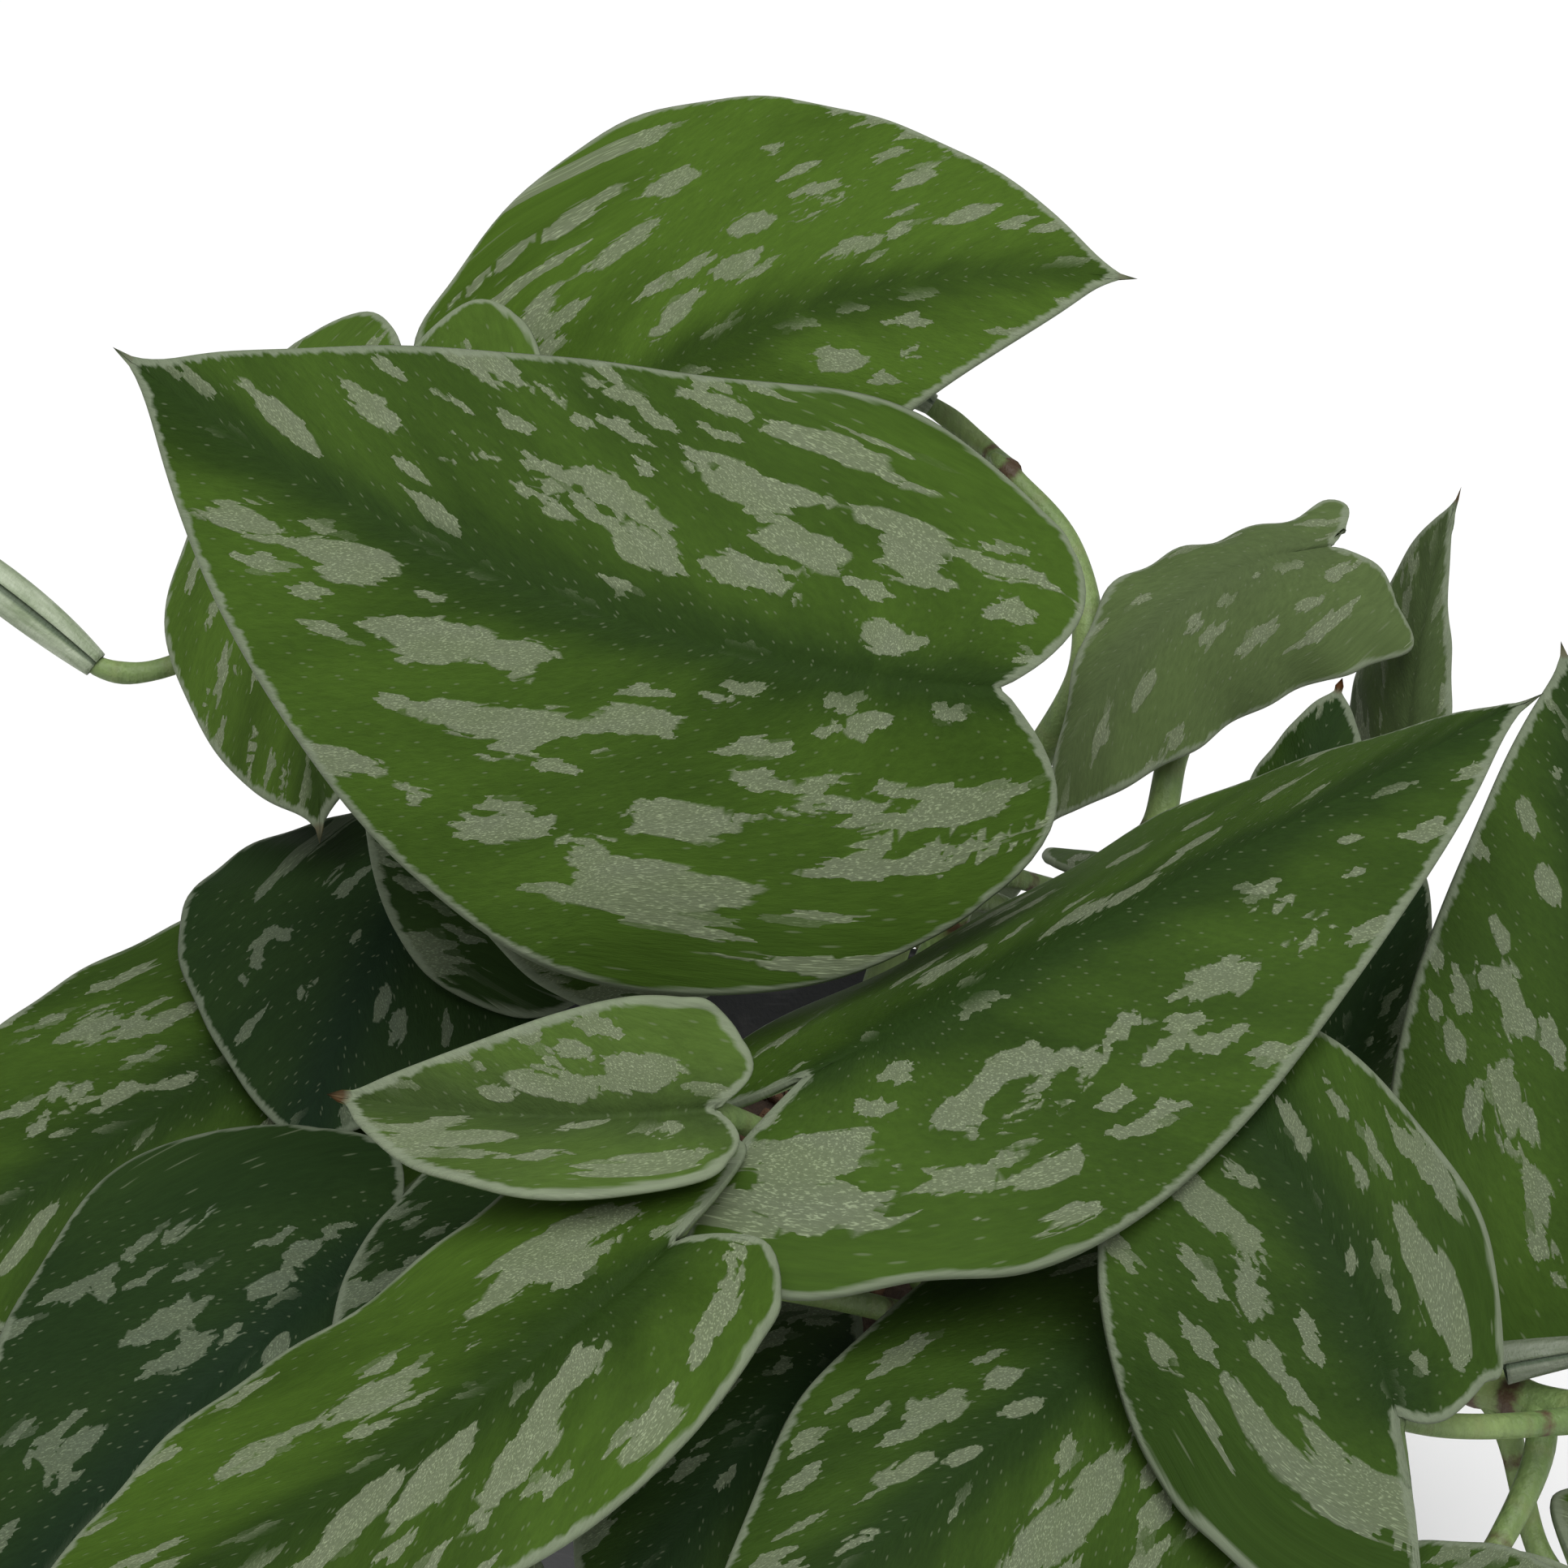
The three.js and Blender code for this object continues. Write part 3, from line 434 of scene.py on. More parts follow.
def fine_blade(name, seed, painted_shade, silver):
    """A blade: each row is a parabola through the plain blade's points from midrib to margin, the rows are
    joined by a smooth spline from base to tip, and both faces stand half the thickness off that surface,
    which falls to nothing over a rounded margin."""
    rng = np.random.default_rng(seed)
    base, rows, tip = blade_points("leaf_" + name)
    shares = column_shares()
    size = np.abs(shares)
    for row, column, pull in SHOULDERS.get(name, []):
        rows[row, column] += pull * (rows[row, 2] - rows[row, column])
    lobes = np.linalg.norm(rows[LOBE_ROWS - 1] - base, axis=-1)[:, None]
    near = np.where(shares < 0, 1, 3)
    far = np.where(shares < 0, 0, 4)
    whole = np.concatenate([np.tile(base, (1, 5, 1)), rows, np.tile(tip, (1, 5, 1))])
    margins = np.linalg.norm(np.diff(whole[:, [0, 4]], axis=0), axis=-1).mean(axis=1)
    knots = np.concatenate([[0], np.cumsum(margins)]) / margins.sum()
    steps = np.linspace(0, 1, BLADE_ROWS + 2)[1:-1]
    at = 0.8 * steps + 0.2 * (0.5 - 0.5 * np.cos(np.pi * steps))
    line = spline(knots, whole, at)
    parts = ((1 - size) * (1 - 2 * size), 4 * size * (1 - size), size * (2 * size - 1))
    sheet = sum(p[:, None] * line[:, c] for p, c in zip(parts, (np.full(len(size), 2), near, far)))
    back = np.sin(np.pi * np.clip(at / knots[LOBE_ROWS], 0, 1)) * LOBE_BULGE
    reach_back = np.where(shares < 0, lobes[0], lobes[4]) * size**2
    sheet = sheet - (back[:, None] * reach_back)[..., None] * unit(rows[1, 2] - base)
    middle = sheet[:, HALF_BLADE_COLUMNS]
    slim = 1 - 0.35 * np.exp(-(((1 - at) / 0.05) ** 2))
    sheet = middle[:, None] + (sheet - middle[:, None]) * slim[:, None, None]

    def facing(surface):
        return unit(np.cross(np.gradient(surface, axis=0), np.gradient(surface, axis=1)))

    veins = np.linalg.norm(np.diff(sheet, axis=1), axis=-1) / MM
    half = HALF_BLADE_COLUMNS
    right = np.cumsum(veins[:, :half][:, ::-1], axis=1)[:, ::-1]
    left = np.cumsum(veins[:, half:], axis=1)
    across = np.concatenate([-right, np.zeros((len(at), 1)), left], axis=1)
    reach = np.where(shares < 0, right[:, :1], left[:, -1:])
    between = sheet[:, [half // 2, half + half // 2]]
    steps_along = np.linalg.norm(np.diff(between, axis=0), axis=-1).mean(axis=1) / MM
    sweep = VEIN_SWEEP * np.clip((at - 0.06) / 0.4, 0, 1)
    along = np.concatenate([[0], np.cumsum(steps_along)])[:, None] - sweep[:, None] * np.abs(across)
    edge = np.concatenate([[base], sheet[:, 0], [tip], sheet[::-1, -1], [base]])
    inset = distance_to_line(sheet.reshape(-1, 3), edge).reshape(across.shape) / MM

    phases = rng.uniform(0, 2 * np.pi, 4)
    turns = rng.uniform(1.8, 3.4, 2)
    sides = np.where(shares < 0, phases[0], phases[1])
    wave = np.sin(2 * np.pi * turns[0] * at[:, None] + sides) + 0.4 * np.sin(
        2 * np.pi * 2.3 * turns[1] * at[:, None] + 2 * sides + phases[2]
    )
    height = WAVE_MM * min(1, reach.max() / FULL_WAVE_REACH_MM) * (1 + YOUNG.get(name, 0.0))
    wave = height * wave * size**3 * np.sin(np.pi * at[:, None])
    quilt = QUILT_MM * np.cos(2 * np.pi * along / VEIN_SPACING_MM + phases[3]) * np.sin(np.pi * size) ** 2
    sheet = sheet + facing(sheet) * (wave + quilt)[..., None] * MM
    normals = facing(sheet)

    thickness = BLADE_MM * np.clip(reach / 2.5, 0.15, 1)
    rounding = np.minimum(MARGIN_ROUND_MM, 0.5 * reach)
    close = np.clip((np.abs(across) - reach + rounding) / rounding, 0, 1)
    half_thick = 0.5 * thickness * np.sqrt(1 - close**2)
    fade = np.clip((1 - at[:, None]) * 1.3, 0, 1) * np.clip(reach / 4, 0, 1)
    groove = GROOVE_MM * np.exp(-((across / 0.9) ** 2)) * fade
    ridge = RIDGE_MM * np.exp(-((across / 1.1) ** 2)) * fade
    core = sheet - normals * 0.5 * BLADE_MM * MM
    upper = core + normals * (half_thick - groove)[..., None] * MM
    lower = (core - normals * (half_thick + ridge)[..., None] * MM)[:, -2:0:-1]
    body = skin(
        np.concatenate([upper, lower], axis=1),
        core[0, half] - (core[1, half] - core[0, half]) * 0.3,
        tip + unit(tip - middle[-4]) * 1.2 * MM - normals[-1, half] * 0.5 * BLADE_MM * MM,
    )

    def spread(values):
        """Values of the sheet's points, over both faces and the two ends."""
        ring = np.concatenate([values, values[:, -2:0:-1]], axis=1)
        return np.concatenate([[values[0, half]], ring.ravel(), [values[-1, half]]])

    under = np.concatenate([np.zeros(len(shares)), np.ones(len(shares) - 2)])
    faces = np.concatenate([[0.5], np.tile(under, len(at)), [0.5]])
    to_tip = np.linalg.norm(sheet - tip, axis=-1) / MM
    # The blade's painted shade goes into the kind attribute, to darken the whole blade as if it lay in shade.
    return piece(
        "blade_" + name,
        [body],
        LEAF_PAINT,
        place=np.stack([spread(across), spread(along), spread(inset)], -1),
        kind=np.tile([rng.uniform(0, 40), painted_shade, YOUNG.get(name, 0.0)], (len(body[0]), 1)),
        patch=spread(silver_places(name, across, along)),
        part=np.stack([faces, spread(to_tip), np.full(len(body[0]), silver)], -1),
    )


# ---- stems and stalks ----
def stem_path(name):
    """A centripetal Catmull-Rom curve from the collar of the soil through the stem's points, even steps."""
    (x, y), *rest = STEMS[name]
    collar = (SOIL_TOP + SOIL_DOME) / MM
    points = np.array([(x, y, collar + 1), (x, y, collar + 5), *rest], float) * MM
    padded = np.concatenate([[2 * points[0] - points[1]], points, [2 * points[-1] - points[-2]]])
    spans = np.linalg.norm(np.diff(padded, axis=0), axis=1) ** 0.5
    before, here, after = spans[:-2, None], spans[1:-1, None], spans[2:, None]
    p0, p1, p2, p3 = padded[:-3], padded[1:-2], padded[2:-1], padded[3:]
    leave = ((p1 - p0) / before - (p2 - p0) / (before + here) + (p2 - p1) / here) * here
    reach = ((p2 - p1) / here - (p3 - p1) / (here + after) + (p3 - p2) / after) * here
    x = np.linspace(0, 1, 40, endpoint=False)[:, None, None]
    curve = p1 * (1 - 3 * x**2 + 2 * x**3) + p2 * (3 * x**2 - 2 * x**3)
    curve = curve + leave * (x - 2 * x**2 + x**3) + reach * (x**3 - x**2)
    return evenly(np.concatenate([curve.transpose(1, 0, 2).reshape(-1, 3), points[-1:]]), STEM_STEPS)


def evenly(path, steps):
    """The path again, with its points at equal distances."""
    run = np.concatenate([[0], np.cumsum(np.linalg.norm(np.diff(path, axis=0), axis=1))])
    wanted = np.linspace(0, run[-1], steps)
    return np.stack([np.interp(wanted, run, path[:, k]) for k in range(3)], -1)


def on_path(path, share):
    """Place and direction at a share of the path."""
    tangents = unit(np.gradient(path, axis=0))
    k = share * (len(path) - 1)
    pick = [np.interp(k, np.arange(len(path)), path[:, c]) for c in range(3)]
    direction = tangents[min(len(path) - 1, round(k))]
    return np.array(pick), direction


def stalk_path(stem, at, sway, seat, arrive, end):
    """A cubic Bezier curve that leaves along the stem and arrives at the leaf, swaying on the way."""
    start, tangent = on_path(stem, at)
    reach = np.linalg.norm(seat - start)
    sway = np.array(sway) * MM
    leave = start + tangent * 0.3 * reach + sway
    approach = seat - arrive * 0.35 * reach + 0.5 * sway
    x = np.linspace(0, 1, 120)[:, None]
    curve = start * (1 - x) ** 3 + 3 * leave * x * (1 - x) ** 2 + 3 * approach * x**2 * (1 - x) + end * x**3
    return evenly(curve, STALK_STEPS)


def leaf_seat(name, lean):
    """Where the stalk meets a blade: under its base, arriving along it and from below; then its visible
    end."""
    base, rows, tip = blade_points("leaf_" + name)
    along, _, up, droop = blade_axes(base, rows, tip)
    slant = (1 - lean**2) ** 0.5
    drop = (BLADE_MM + BLADE_GAP_MM + (slant + 2 * droop) * PETIOLE_MM) * MM
    seat = base + along * 2 * MM - up * drop
    return seat, along * slant + up * lean, base + along * 3.2 * MM - up * (BLADE_MM + 0.35) * MM


def stem_piece(name):
    """A stem and its stalks: tubes that thin towards the tip, swollen at the nodes where stalks leave, each
    stalk sheathed for its first third and thickened at the knee below its blade."""
    path = stem_path(name)
    foot = np.array([(*STEMS[name][0], h) for h in np.linspace(STEM_FOOT_MM, STEM_COLLAR_MM, 12)]) * MM
    line = evenly(np.concatenate([foot, path]), STEM_STEPS)
    length = np.linalg.norm(np.diff(path, axis=0), axis=1).sum() / MM
    run = np.linspace(0, 1, STEM_STEPS)
    buried = STEM_COLLAR_MM - STEM_FOOT_MM
    share = (run * (length + buried) - buried) / length
    stalks = [row[:4] for row in LEAVES.values() if row[0] == name]
    seats = [leaf_seat(leaf, row[3]) for leaf, row in LEAVES.items() if row[0] == name]
    for stem, at, sway, base, tip, *_ in ROLLED_LEAVES.values():
        if stem == name:
            arrive = unit(np.array(tip, float) - base)
            end = np.array(base) * MM + arrive * 1.5 * MM
            stalks.append((stem, at, sway, 0))
            seats.append((np.array(base) * MM - arrive * 0.9 * MM, arrive, end))
    knots = np.array([0.12] + [row[1] for row in stalks])
    node = np.exp(-(((share[:, None] - knots) * length / NODE_SPREAD_MM) ** 2)).max(axis=1)
    width = STEM_MM * (1 - 0.55 * np.clip(share, 0, 1) ** 6) * (1 + NODE_SWELL * node)
    width[-3:] *= (0.97, 0.85, 0.6)
    bodies, nodes, runs = [tube(line, width * MM)], [per_point(node)], [per_point(run * length)]
    for (_, at, sway, _), (seat, arrive, end) in zip(stalks, seats):
        stalk = stalk_path(path, at, sway, seat, arrive, end)
        reach = np.linalg.norm(np.diff(stalk, axis=0), axis=1).sum() / MM
        run_here = np.linspace(0, reach, STALK_STEPS)
        thick = np.interp(run_here / reach, (0, SHEATH_SHARE, 1), (SHEATH_MM, PETIOLE_MM, PETIOLE_MM * 0.92))
        knee = np.exp(-(((reach - run_here - KNEE_FROM_BLADE_MM) / KNEE_SPREAD_MM) ** 2))
        thick = thick * (1 + KNEE_SWELL * knee)
        thick[-2:] *= (0.92, 0.72)
        bodies.append(tube(stalk, thick * MM))
        sheath_end = 0.75 * np.exp(-(((run_here - 0.34 * reach) / 1.1) ** 2))
        nodes.append(per_point(np.maximum(np.exp(-run_here / 1.5), sheath_end)))
        runs.append(per_point(run_here + 300))
    fields = {"node": np.concatenate(nodes), "run": np.concatenate(runs)}
    thing = piece("stem_and_stalks_" + name, bodies, STEM_PAINT, **fields)
    settle(thing, ["stem_" + name])


def rolled_leaf(name):
    """A leaf still rolled up: a thin sheet wound into a spiral of two and a half turns whose radius swells
    and narrows along a gently bent line; its outer turn shows the free edge."""
    _, _, _, base, tip, radius, open_end, painted_lighting = ROLLED_LEAVES[name]
    start, end = np.array(base) * MM, np.array(tip) * MM
    middle = (start + end) / 2 + np.array([0, 0, 0.06 * np.linalg.norm(end - start)])
    x = np.linspace(0, 1, ROLL_STEPS)
    path = start * (1 - x[:, None]) ** 2 + 2 * middle * (x * (1 - x))[:, None] + end * x[:, None] ** 2
    swell = np.sin(np.pi * np.minimum(1, 0.1 + 0.9 * x) ** 0.75)
    if open_end:
        swell = np.maximum(swell, np.interp(x, (0.35, 1), (0, 0.78)))
    outer = radius * MM * (0.16 + 0.84 * swell)
    tangents = unit(np.gradient(path, axis=0))
    normals = unit(np.cross(tangents, (0, 1, 0)))
    binormals = np.cross(tangents, normals)
    turn = np.linspace(0, 1, ROLL_ROUND)
    angle = 2 * np.pi * ROLL_TURNS * turn + ROLL_START
    wound = outer[:, None] * (0.3 + 0.7 * turn)
    half = np.minimum(ROLL_SHEET, 0.07 * outer)[:, None] * np.minimum(1, 12 * (1 - turn) + 0.25)
    spoke = normals[:, None] * np.cos(angle)[:, None] - binormals[:, None] * np.sin(angle)[:, None]
    lag = (1.6 * MM * (1 - turn) if open_end else 0 * turn)[:, None] * tangents[:, None]
    lag = lag * x[:, None, None] ** 4
    outside = path[:, None] + spoke * (wound + half)[..., None] - lag
    inside = (path[:, None] + spoke * (wound - half)[..., None] - lag)[:, ::-1]
    rings = np.concatenate([outside, inside], axis=1)
    n, m = rings.shape[:2]
    number = np.arange(n * m).reshape(n, m)
    count = len(turn)
    front, back = number[-1], number[0]
    k = np.arange(count - 1)
    cap = np.stack([front[k], front[m - 1 - k], front[m - 2 - k], front[k + 1]], -1)
    end_cap = np.stack([back[k + 1], back[m - 2 - k], back[m - 1 - k], back[k]], -1)
    body = (rings.reshape(-1, 3), between_rings(number) + cap.tolist() + end_cap.tolist())
    inner = np.concatenate([np.tile(turn < 0.62, (n, 1)), np.ones((n, count), bool)], axis=1)
    run = np.repeat(x * np.linalg.norm(end - start) / MM, m)
    wind = np.tile(np.concatenate([turn, turn[::-1]]) * ROLL_TURNS, n)
    fields = {"inner": inner.ravel().astype(float), "run": run, "wind": wind, "painted_lighting": np.full(n * m, painted_lighting)}
    thing = piece("roll_" + name, [body], ROLL_PAINT, **fields)
    settle(thing, [name])


# ---- pot and soil ----
def rounded(corners, steps=6):
    """A line through corners (radius, height, rounding): each corner is a parabola between points set back
    along its two sides by the rounding."""
    points = [np.array(corners[0][:2], float)]
    for before, here, after in zip(corners[:-2], corners[1:-1], corners[2:]):
        p = np.array(here[:2], float)
        back = unit(np.array(before[:2], float) - p) * here[2]
        on = unit(np.array(after[:2], float) - p) * here[2]
        for x in np.linspace(0, 1, steps) if here[2] > 0 else [0.5]:
            points.append(p + back * (1 - x) ** 2 + on * x**2)
    points.append(np.array(corners[-1][:2], float))
    return np.array(points)


def turned(profile, sides=POT_SIDES):
    """A profile from the axis, out and back to the axis, turned about +Z."""
    angle = -np.arange(sides) * 2 * np.pi / sides
    around = np.stack([np.cos(angle), np.sin(angle), 0 * angle], -1)
    ring = profile[1:-1]
    rings = ring[:, 0, None, None] * around + ring[:, 1, None, None] * np.array([0, 0, 1.0])
    return skin(rings, (0, 0, profile[0, 1]), (0, 0, profile[-1, 1]))


def pot_inside(height):
    """Radius of the pot's inner wall."""
    return POT_FOOT + (POT_SHOULDER - POT_FOOT) * height / (POT_HEIGHT - POT_BAND) - POT_WALL


def make_pot():
    """The pot: a turned profile with a rolled rim, a stepped foot and a fine groove, less its drain holes."""
    shoulder = POT_HEIGHT - POT_BAND

    def wall(height, out=0.0):
        return POT_FOOT + (POT_SHOULDER - POT_FOOT) * height / shoulder + out

    line = [
        (0, 0.8 * MM, 0), (POT_FOOT - 9 * MM, 0.8 * MM, 0), (POT_FOOT - 8.4 * MM, 0, 0.3 * MM),
        (POT_FOOT - 0.6 * MM, 0, 1.0 * MM), (wall(7 * MM), 7 * MM, 0),
        (wall(7.6 * MM, -0.5 * MM), 7.6 * MM, 0.2 * MM), (wall(9 * MM, -0.5 * MM), 9 * MM, 0.2 * MM),
        (wall(9.6 * MM), 9.6 * MM, 0.2 * MM), (wall(shoulder - 4 * MM), shoulder - 4 * MM, 0),
        (POT_SHOULDER, shoulder + 0.2 * MM, 0.8 * MM), (POT_RIM - 0.9 * MM, shoulder + 0.6 * MM, 1.2 * MM),
        (POT_RIM - 0.4 * MM, shoulder + 6 * MM, 0), (POT_RIM, POT_HEIGHT - 2.2 * MM, 1 * MM),
        (POT_RIM - 0.4 * MM, POT_HEIGHT, 1.1 * MM), (POT_RIM - 2.8 * MM, POT_HEIGHT, 1.0 * MM),
        (POT_RIM - 3.4 * MM, POT_HEIGHT - 3 * MM, 1 * MM),
        (pot_inside(shoulder) + 1.5 * MM, shoulder + 4 * MM, 2 * MM),
        (pot_inside(shoulder), shoulder, 1 * MM), (pot_inside(POT_FLOOR), POT_FLOOR, 1.2 * MM),
        (0, POT_FLOOR, 0),
    ]
    pot = piece("pot_moulded", [turned(rounded(line))], POT_PAINT)
    holes = []
    for k in range(DRAIN_HOLES):
        angle = 2 * np.pi * k / DRAIN_HOLES
        x, y = DRAIN_CIRCLE * np.cos(angle), DRAIN_CIRCLE * np.sin(angle)
        post = np.array([(x, y, -2 * MM), (x, y, 6 * MM)])
        holes.append(tube(post, np.full(2, DRAIN_RADIUS), 32))
    cutter = piece("drain_cutter", holes, POT_PAINT)
    cut = pot.modifiers.new("drain_holes", "BOOLEAN")
    cut.object = cutter
    cut.solver = "EXACT"
    graph = bpy.context.evaluated_depsgraph_get()
    finished = bpy.data.meshes.new_from_object(pot.evaluated_get(graph))
    pot.modifiers.clear()
    pot.data = finished
    finished.set_sharp_from_angle(angle=POT_SHARP)
    bpy.data.objects.remove(cutter)
    settle(pot, ["pot"])


def ripple(points, rng, waves, short, long):
    """Seeded unevenness between about -1 and 1: a sum of plane waves of random direction and length."""
    direction = unit(rng.normal(size=(waves, points.shape[-1])))
    pitch = 2 * np.pi / np.exp(rng.uniform(np.log(short), np.log(long), waves))
    phase = rng.uniform(0, 2 * np.pi, waves)
    return np.sin(points @ (direction * pitch[:, None]).T + phase).sum(axis=-1) * (1.4 / waves**0.5) / 1.6


def crumbs(rng, count, sizes, flatness):
    """Small rounded lumps, each a squashed ball with its own ripple, scattered over the soil and turned at
    random; returns one (points, faces) for them all."""
    ring_angles = np.linspace(0, np.pi, 5)[1:-1]
    around = np.arange(7) * 2 * np.pi / 7
    ring = np.stack([np.cos(around), -np.sin(around), 0 * around], -1)
    rings = ring * np.sin(ring_angles)[:, None, None]
    rings[..., 2] = -np.cos(ring_angles)[:, None]
    ball, faces = skin(rings, (0, 0, -1), (0, 0, 1))
    spread = pot_inside(SOIL_TOP) * 0.96 * rng.uniform(0, 1, count) ** 0.5
    turn = rng.uniform(0, 2 * np.pi, count)
    size = rng.uniform(*sizes, (count, 1)) * MM
    stretch = [rng.uniform(*share, count) for share in ((0.8, 1.5), (0.6, 1), flatness)]
    stretch = np.stack(stretch, -1)
    lumps = ball[None] * (1 + 0.22 * rng.normal(size=(count, len(ball), 1))) * (size * stretch)[:, None]
    frames, _ = np.linalg.qr(rng.normal(size=(count, 3, 3)) * (0.55, 0.55, 0.2) + 1.2 * np.diag((0, 0, 1.0)))
    frames = frames * np.sign(np.linalg.det(frames))[:, None, None]
    lumps = np.einsum("nij,nkj->nki", frames, lumps)
    height = SOIL_TOP + SOIL_DOME * (1 - (spread / pot_inside(SOIL_TOP)) ** 2)
    centres = np.stack([spread * np.cos(turn), spread * np.sin(turn), height + 0.25 * size[:, 0]], -1)
    points = (lumps + centres[:, None]).reshape(-1, 3)
    return points, [[c + n * len(ball) for c in face] for n in range(count) for face in faces]


def make_soil():
    """The mix: a low dome with seeded unevenness over a plug that fills the pot, with loose bark and
    perlite."""
    rng = np.random.default_rng(SEED)
    edge = pot_inside(SOIL_TOP) - 0.3 * MM
    floor = POT_FLOOR + 0.3 * MM
    down = np.linspace(1, 0, 90)[:-1]
    top = np.stack([edge * down, SOIL_TOP + SOIL_DOME * (1 - down**2)], -1)
    heights = np.array([floor, 30 * MM, 60 * MM, SOIL_TOP - 3 * MM])
    side = np.stack([pot_inside(heights) - SOIL_GAP, heights], -1)
    below = [(0, floor), (0.5 * side[0, 0], floor)]
    profile = np.concatenate([below, side, top, [(0, SOIL_TOP + SOIL_DOME)]])
    points, faces = turned(profile, 160)
    lift = np.clip((points[:, 2] - SOIL_TOP + 2 * MM) / (2 * MM), 0, 1)
    rough = ripple(points[:, :2], rng, 60, 1.2 * MM, 9 * MM)
    rough = rough + 0.6 * ripple(points[:, :2], rng, 40, 9 * MM, 40 * MM)
    points[:, 2] += SOIL_ROUGH * rough * lift
    points[-1, 2] = points[-2, 2]
    bark = crumbs(rng, BARK_CHIPS, (0.9, 2.6), (0.25, 0.6))
    perlite = crumbs(rng, PERLITE_GRAINS, (0.7, 1.5), (0.7, 1.0))
    parts = [(points, faces), bark, perlite]
    grain = np.concatenate([np.full(len(p), value) for (p, _), value in zip(parts, (0.0, 0.5, 1.0))])
    soil = piece("potting_mix", parts, SOIL_PAINT, grain=grain)
    settle(soil, ["soil"])


# ---- paints ----
class Value:
    """A shader number that can be used in Python sums; each operator adds one Math node."""

    def __init__(self, paint, socket):
        self.paint = paint
        self.socket = socket

    def sum_with(self, operation, *others):
        return self.paint.node("ShaderNodeMath", {"operation": operation}, dict(enumerate(others)))

    def __add__(self, other):
        return self.sum_with("ADD", self, other)

    def __sub__(self, other):
        return self.sum_with("SUBTRACT", self, other)

    def __rsub__(self, other):
        return self.sum_with("SUBTRACT", other, self)

    def __mul__(self, other):
        return self.sum_with("MULTIPLY", self, other)

    def __truediv__(self, other):
        return self.sum_with("DIVIDE", self, other)

    def __pow__(self, other):
        return self.sum_with("POWER", self, other)

    def over(self, other):
        return self.sum_with("GREATER_THAN", self, other)

    def most(self, other):
        return self.sum_with("MAXIMUM", self, other)

    def clear(self):
        """The value held between 0 and 1."""
        return self.sum_with("MINIMUM", self.sum_with("MAXIMUM", self, 0.0), 1.0)

    def bell(self, width):
        """exp(-(value / width) squared)."""
        scaled = self * (1 / width)
        return self.sum_with("EXPONENT", (scaled * scaled) * -1.0)

    def wave(self):
        return self.sum_with("SINE", self)

    __radd__ = __add__
    __rmul__ = __mul__


class Paint:
    """A material: one shader, and the nodes that feed it."""

    def __init__(self, name):
        self.material = bpy.data.materials.new(name)
        self.material.use_nodes = True
        self.tree = self.material.node_tree
        self.tree.nodes.clear()
        self.shader = self.tree.nodes.new("ShaderNodeBsdfPrincipled")
        output = self.tree.nodes.new("ShaderNodeOutputMaterial")
        self.tree.links.new(self.shader.outputs["BSDF"], output.inputs["Surface"])

    def set(self, socket, value):
        if isinstance(value, Value):
            self.tree.links.new(value.socket, socket)
        else:
            socket.default_value = value

    def node(self, kind, settings=None, inputs=None, output=0):
        """A node of that kind with its settings, then its inputs; returns one of its outputs."""
        made = self.tree.nodes.new(kind)
        for key, value in (settings or {}).items():
            setattr(made, key, value)
        for key, value in (inputs or {}).items():
            self.set(made.inputs[key], value)
        return Value(self, made.outputs[output])

    def read(self, name, output="Fac"):
        """A value or vector that the piece carries at each of its points."""
        return self.node("ShaderNodeAttribute", {"attribute_name": name}, output=output)

    def place(self):
        """Object coordinates."""
        return self.node("ShaderNodeTexCoord", output="Object")

    def split(self, vector):
        made = self.tree.nodes.new("ShaderNodeSeparateXYZ")
        self.set(made.inputs[0], vector)
        return [Value(self, socket) for socket in made.outputs]

    def join(self, x, y, z=0.0):
        return self.node("ShaderNodeCombineXYZ", None, {0: x, 1: y, 2: z})

    def scaled(self, vector, factor):
        """A vector or colour times a number."""
        return self.node("ShaderNodeVectorMath", {"operation": "SCALE"}, {0: vector, "Scale": factor})

    def noise(self, vector, scale, detail=2.0, rough=0.5):
        inputs = {"Vector": vector, "Scale": scale, "Detail": detail, "Roughness": rough}
        return self.node("ShaderNodeTexNoise", None, inputs, "Fac")

    def cells(self, vector, output, loose=1.0, distance="EUCLIDEAN"):
        settings = {"voronoi_dimensions": "2D", "distance": distance}
        inputs = {"Vector": vector, "Scale": 1.0, "Randomness": loose}
        return self.node("ShaderNodeTexVoronoi", settings, inputs, output)

    def mix(self, first, second, factor):
        """From the first colour to the second."""
        made = self.tree.nodes.new("ShaderNodeMix")
        made.data_type = "RGBA"
        for socket, value in ((made.inputs[0], factor), (made.inputs[6], first), (made.inputs[7], second)):
            self.set(socket, value if isinstance(value, (Value, float, int)) else (*value, 1))
        return Value(self, made.outputs[2])

    def finish(self, colour, rough, height=None, depth=0.0001, **uniform):
        self.set(self.shader.inputs["Base Color"], colour)
        self.set(self.shader.inputs["Roughness"], rough)
        for name, value in uniform.items():
            self.shader.inputs[name.replace("_", " ")].default_value = value
        if height is not None:
            bump = self.node("ShaderNodeBump", None, {"Height": height, "Distance": depth, "Strength": 1.0})
            self.set(self.shader.inputs["Normal"], bump)
        return self.material
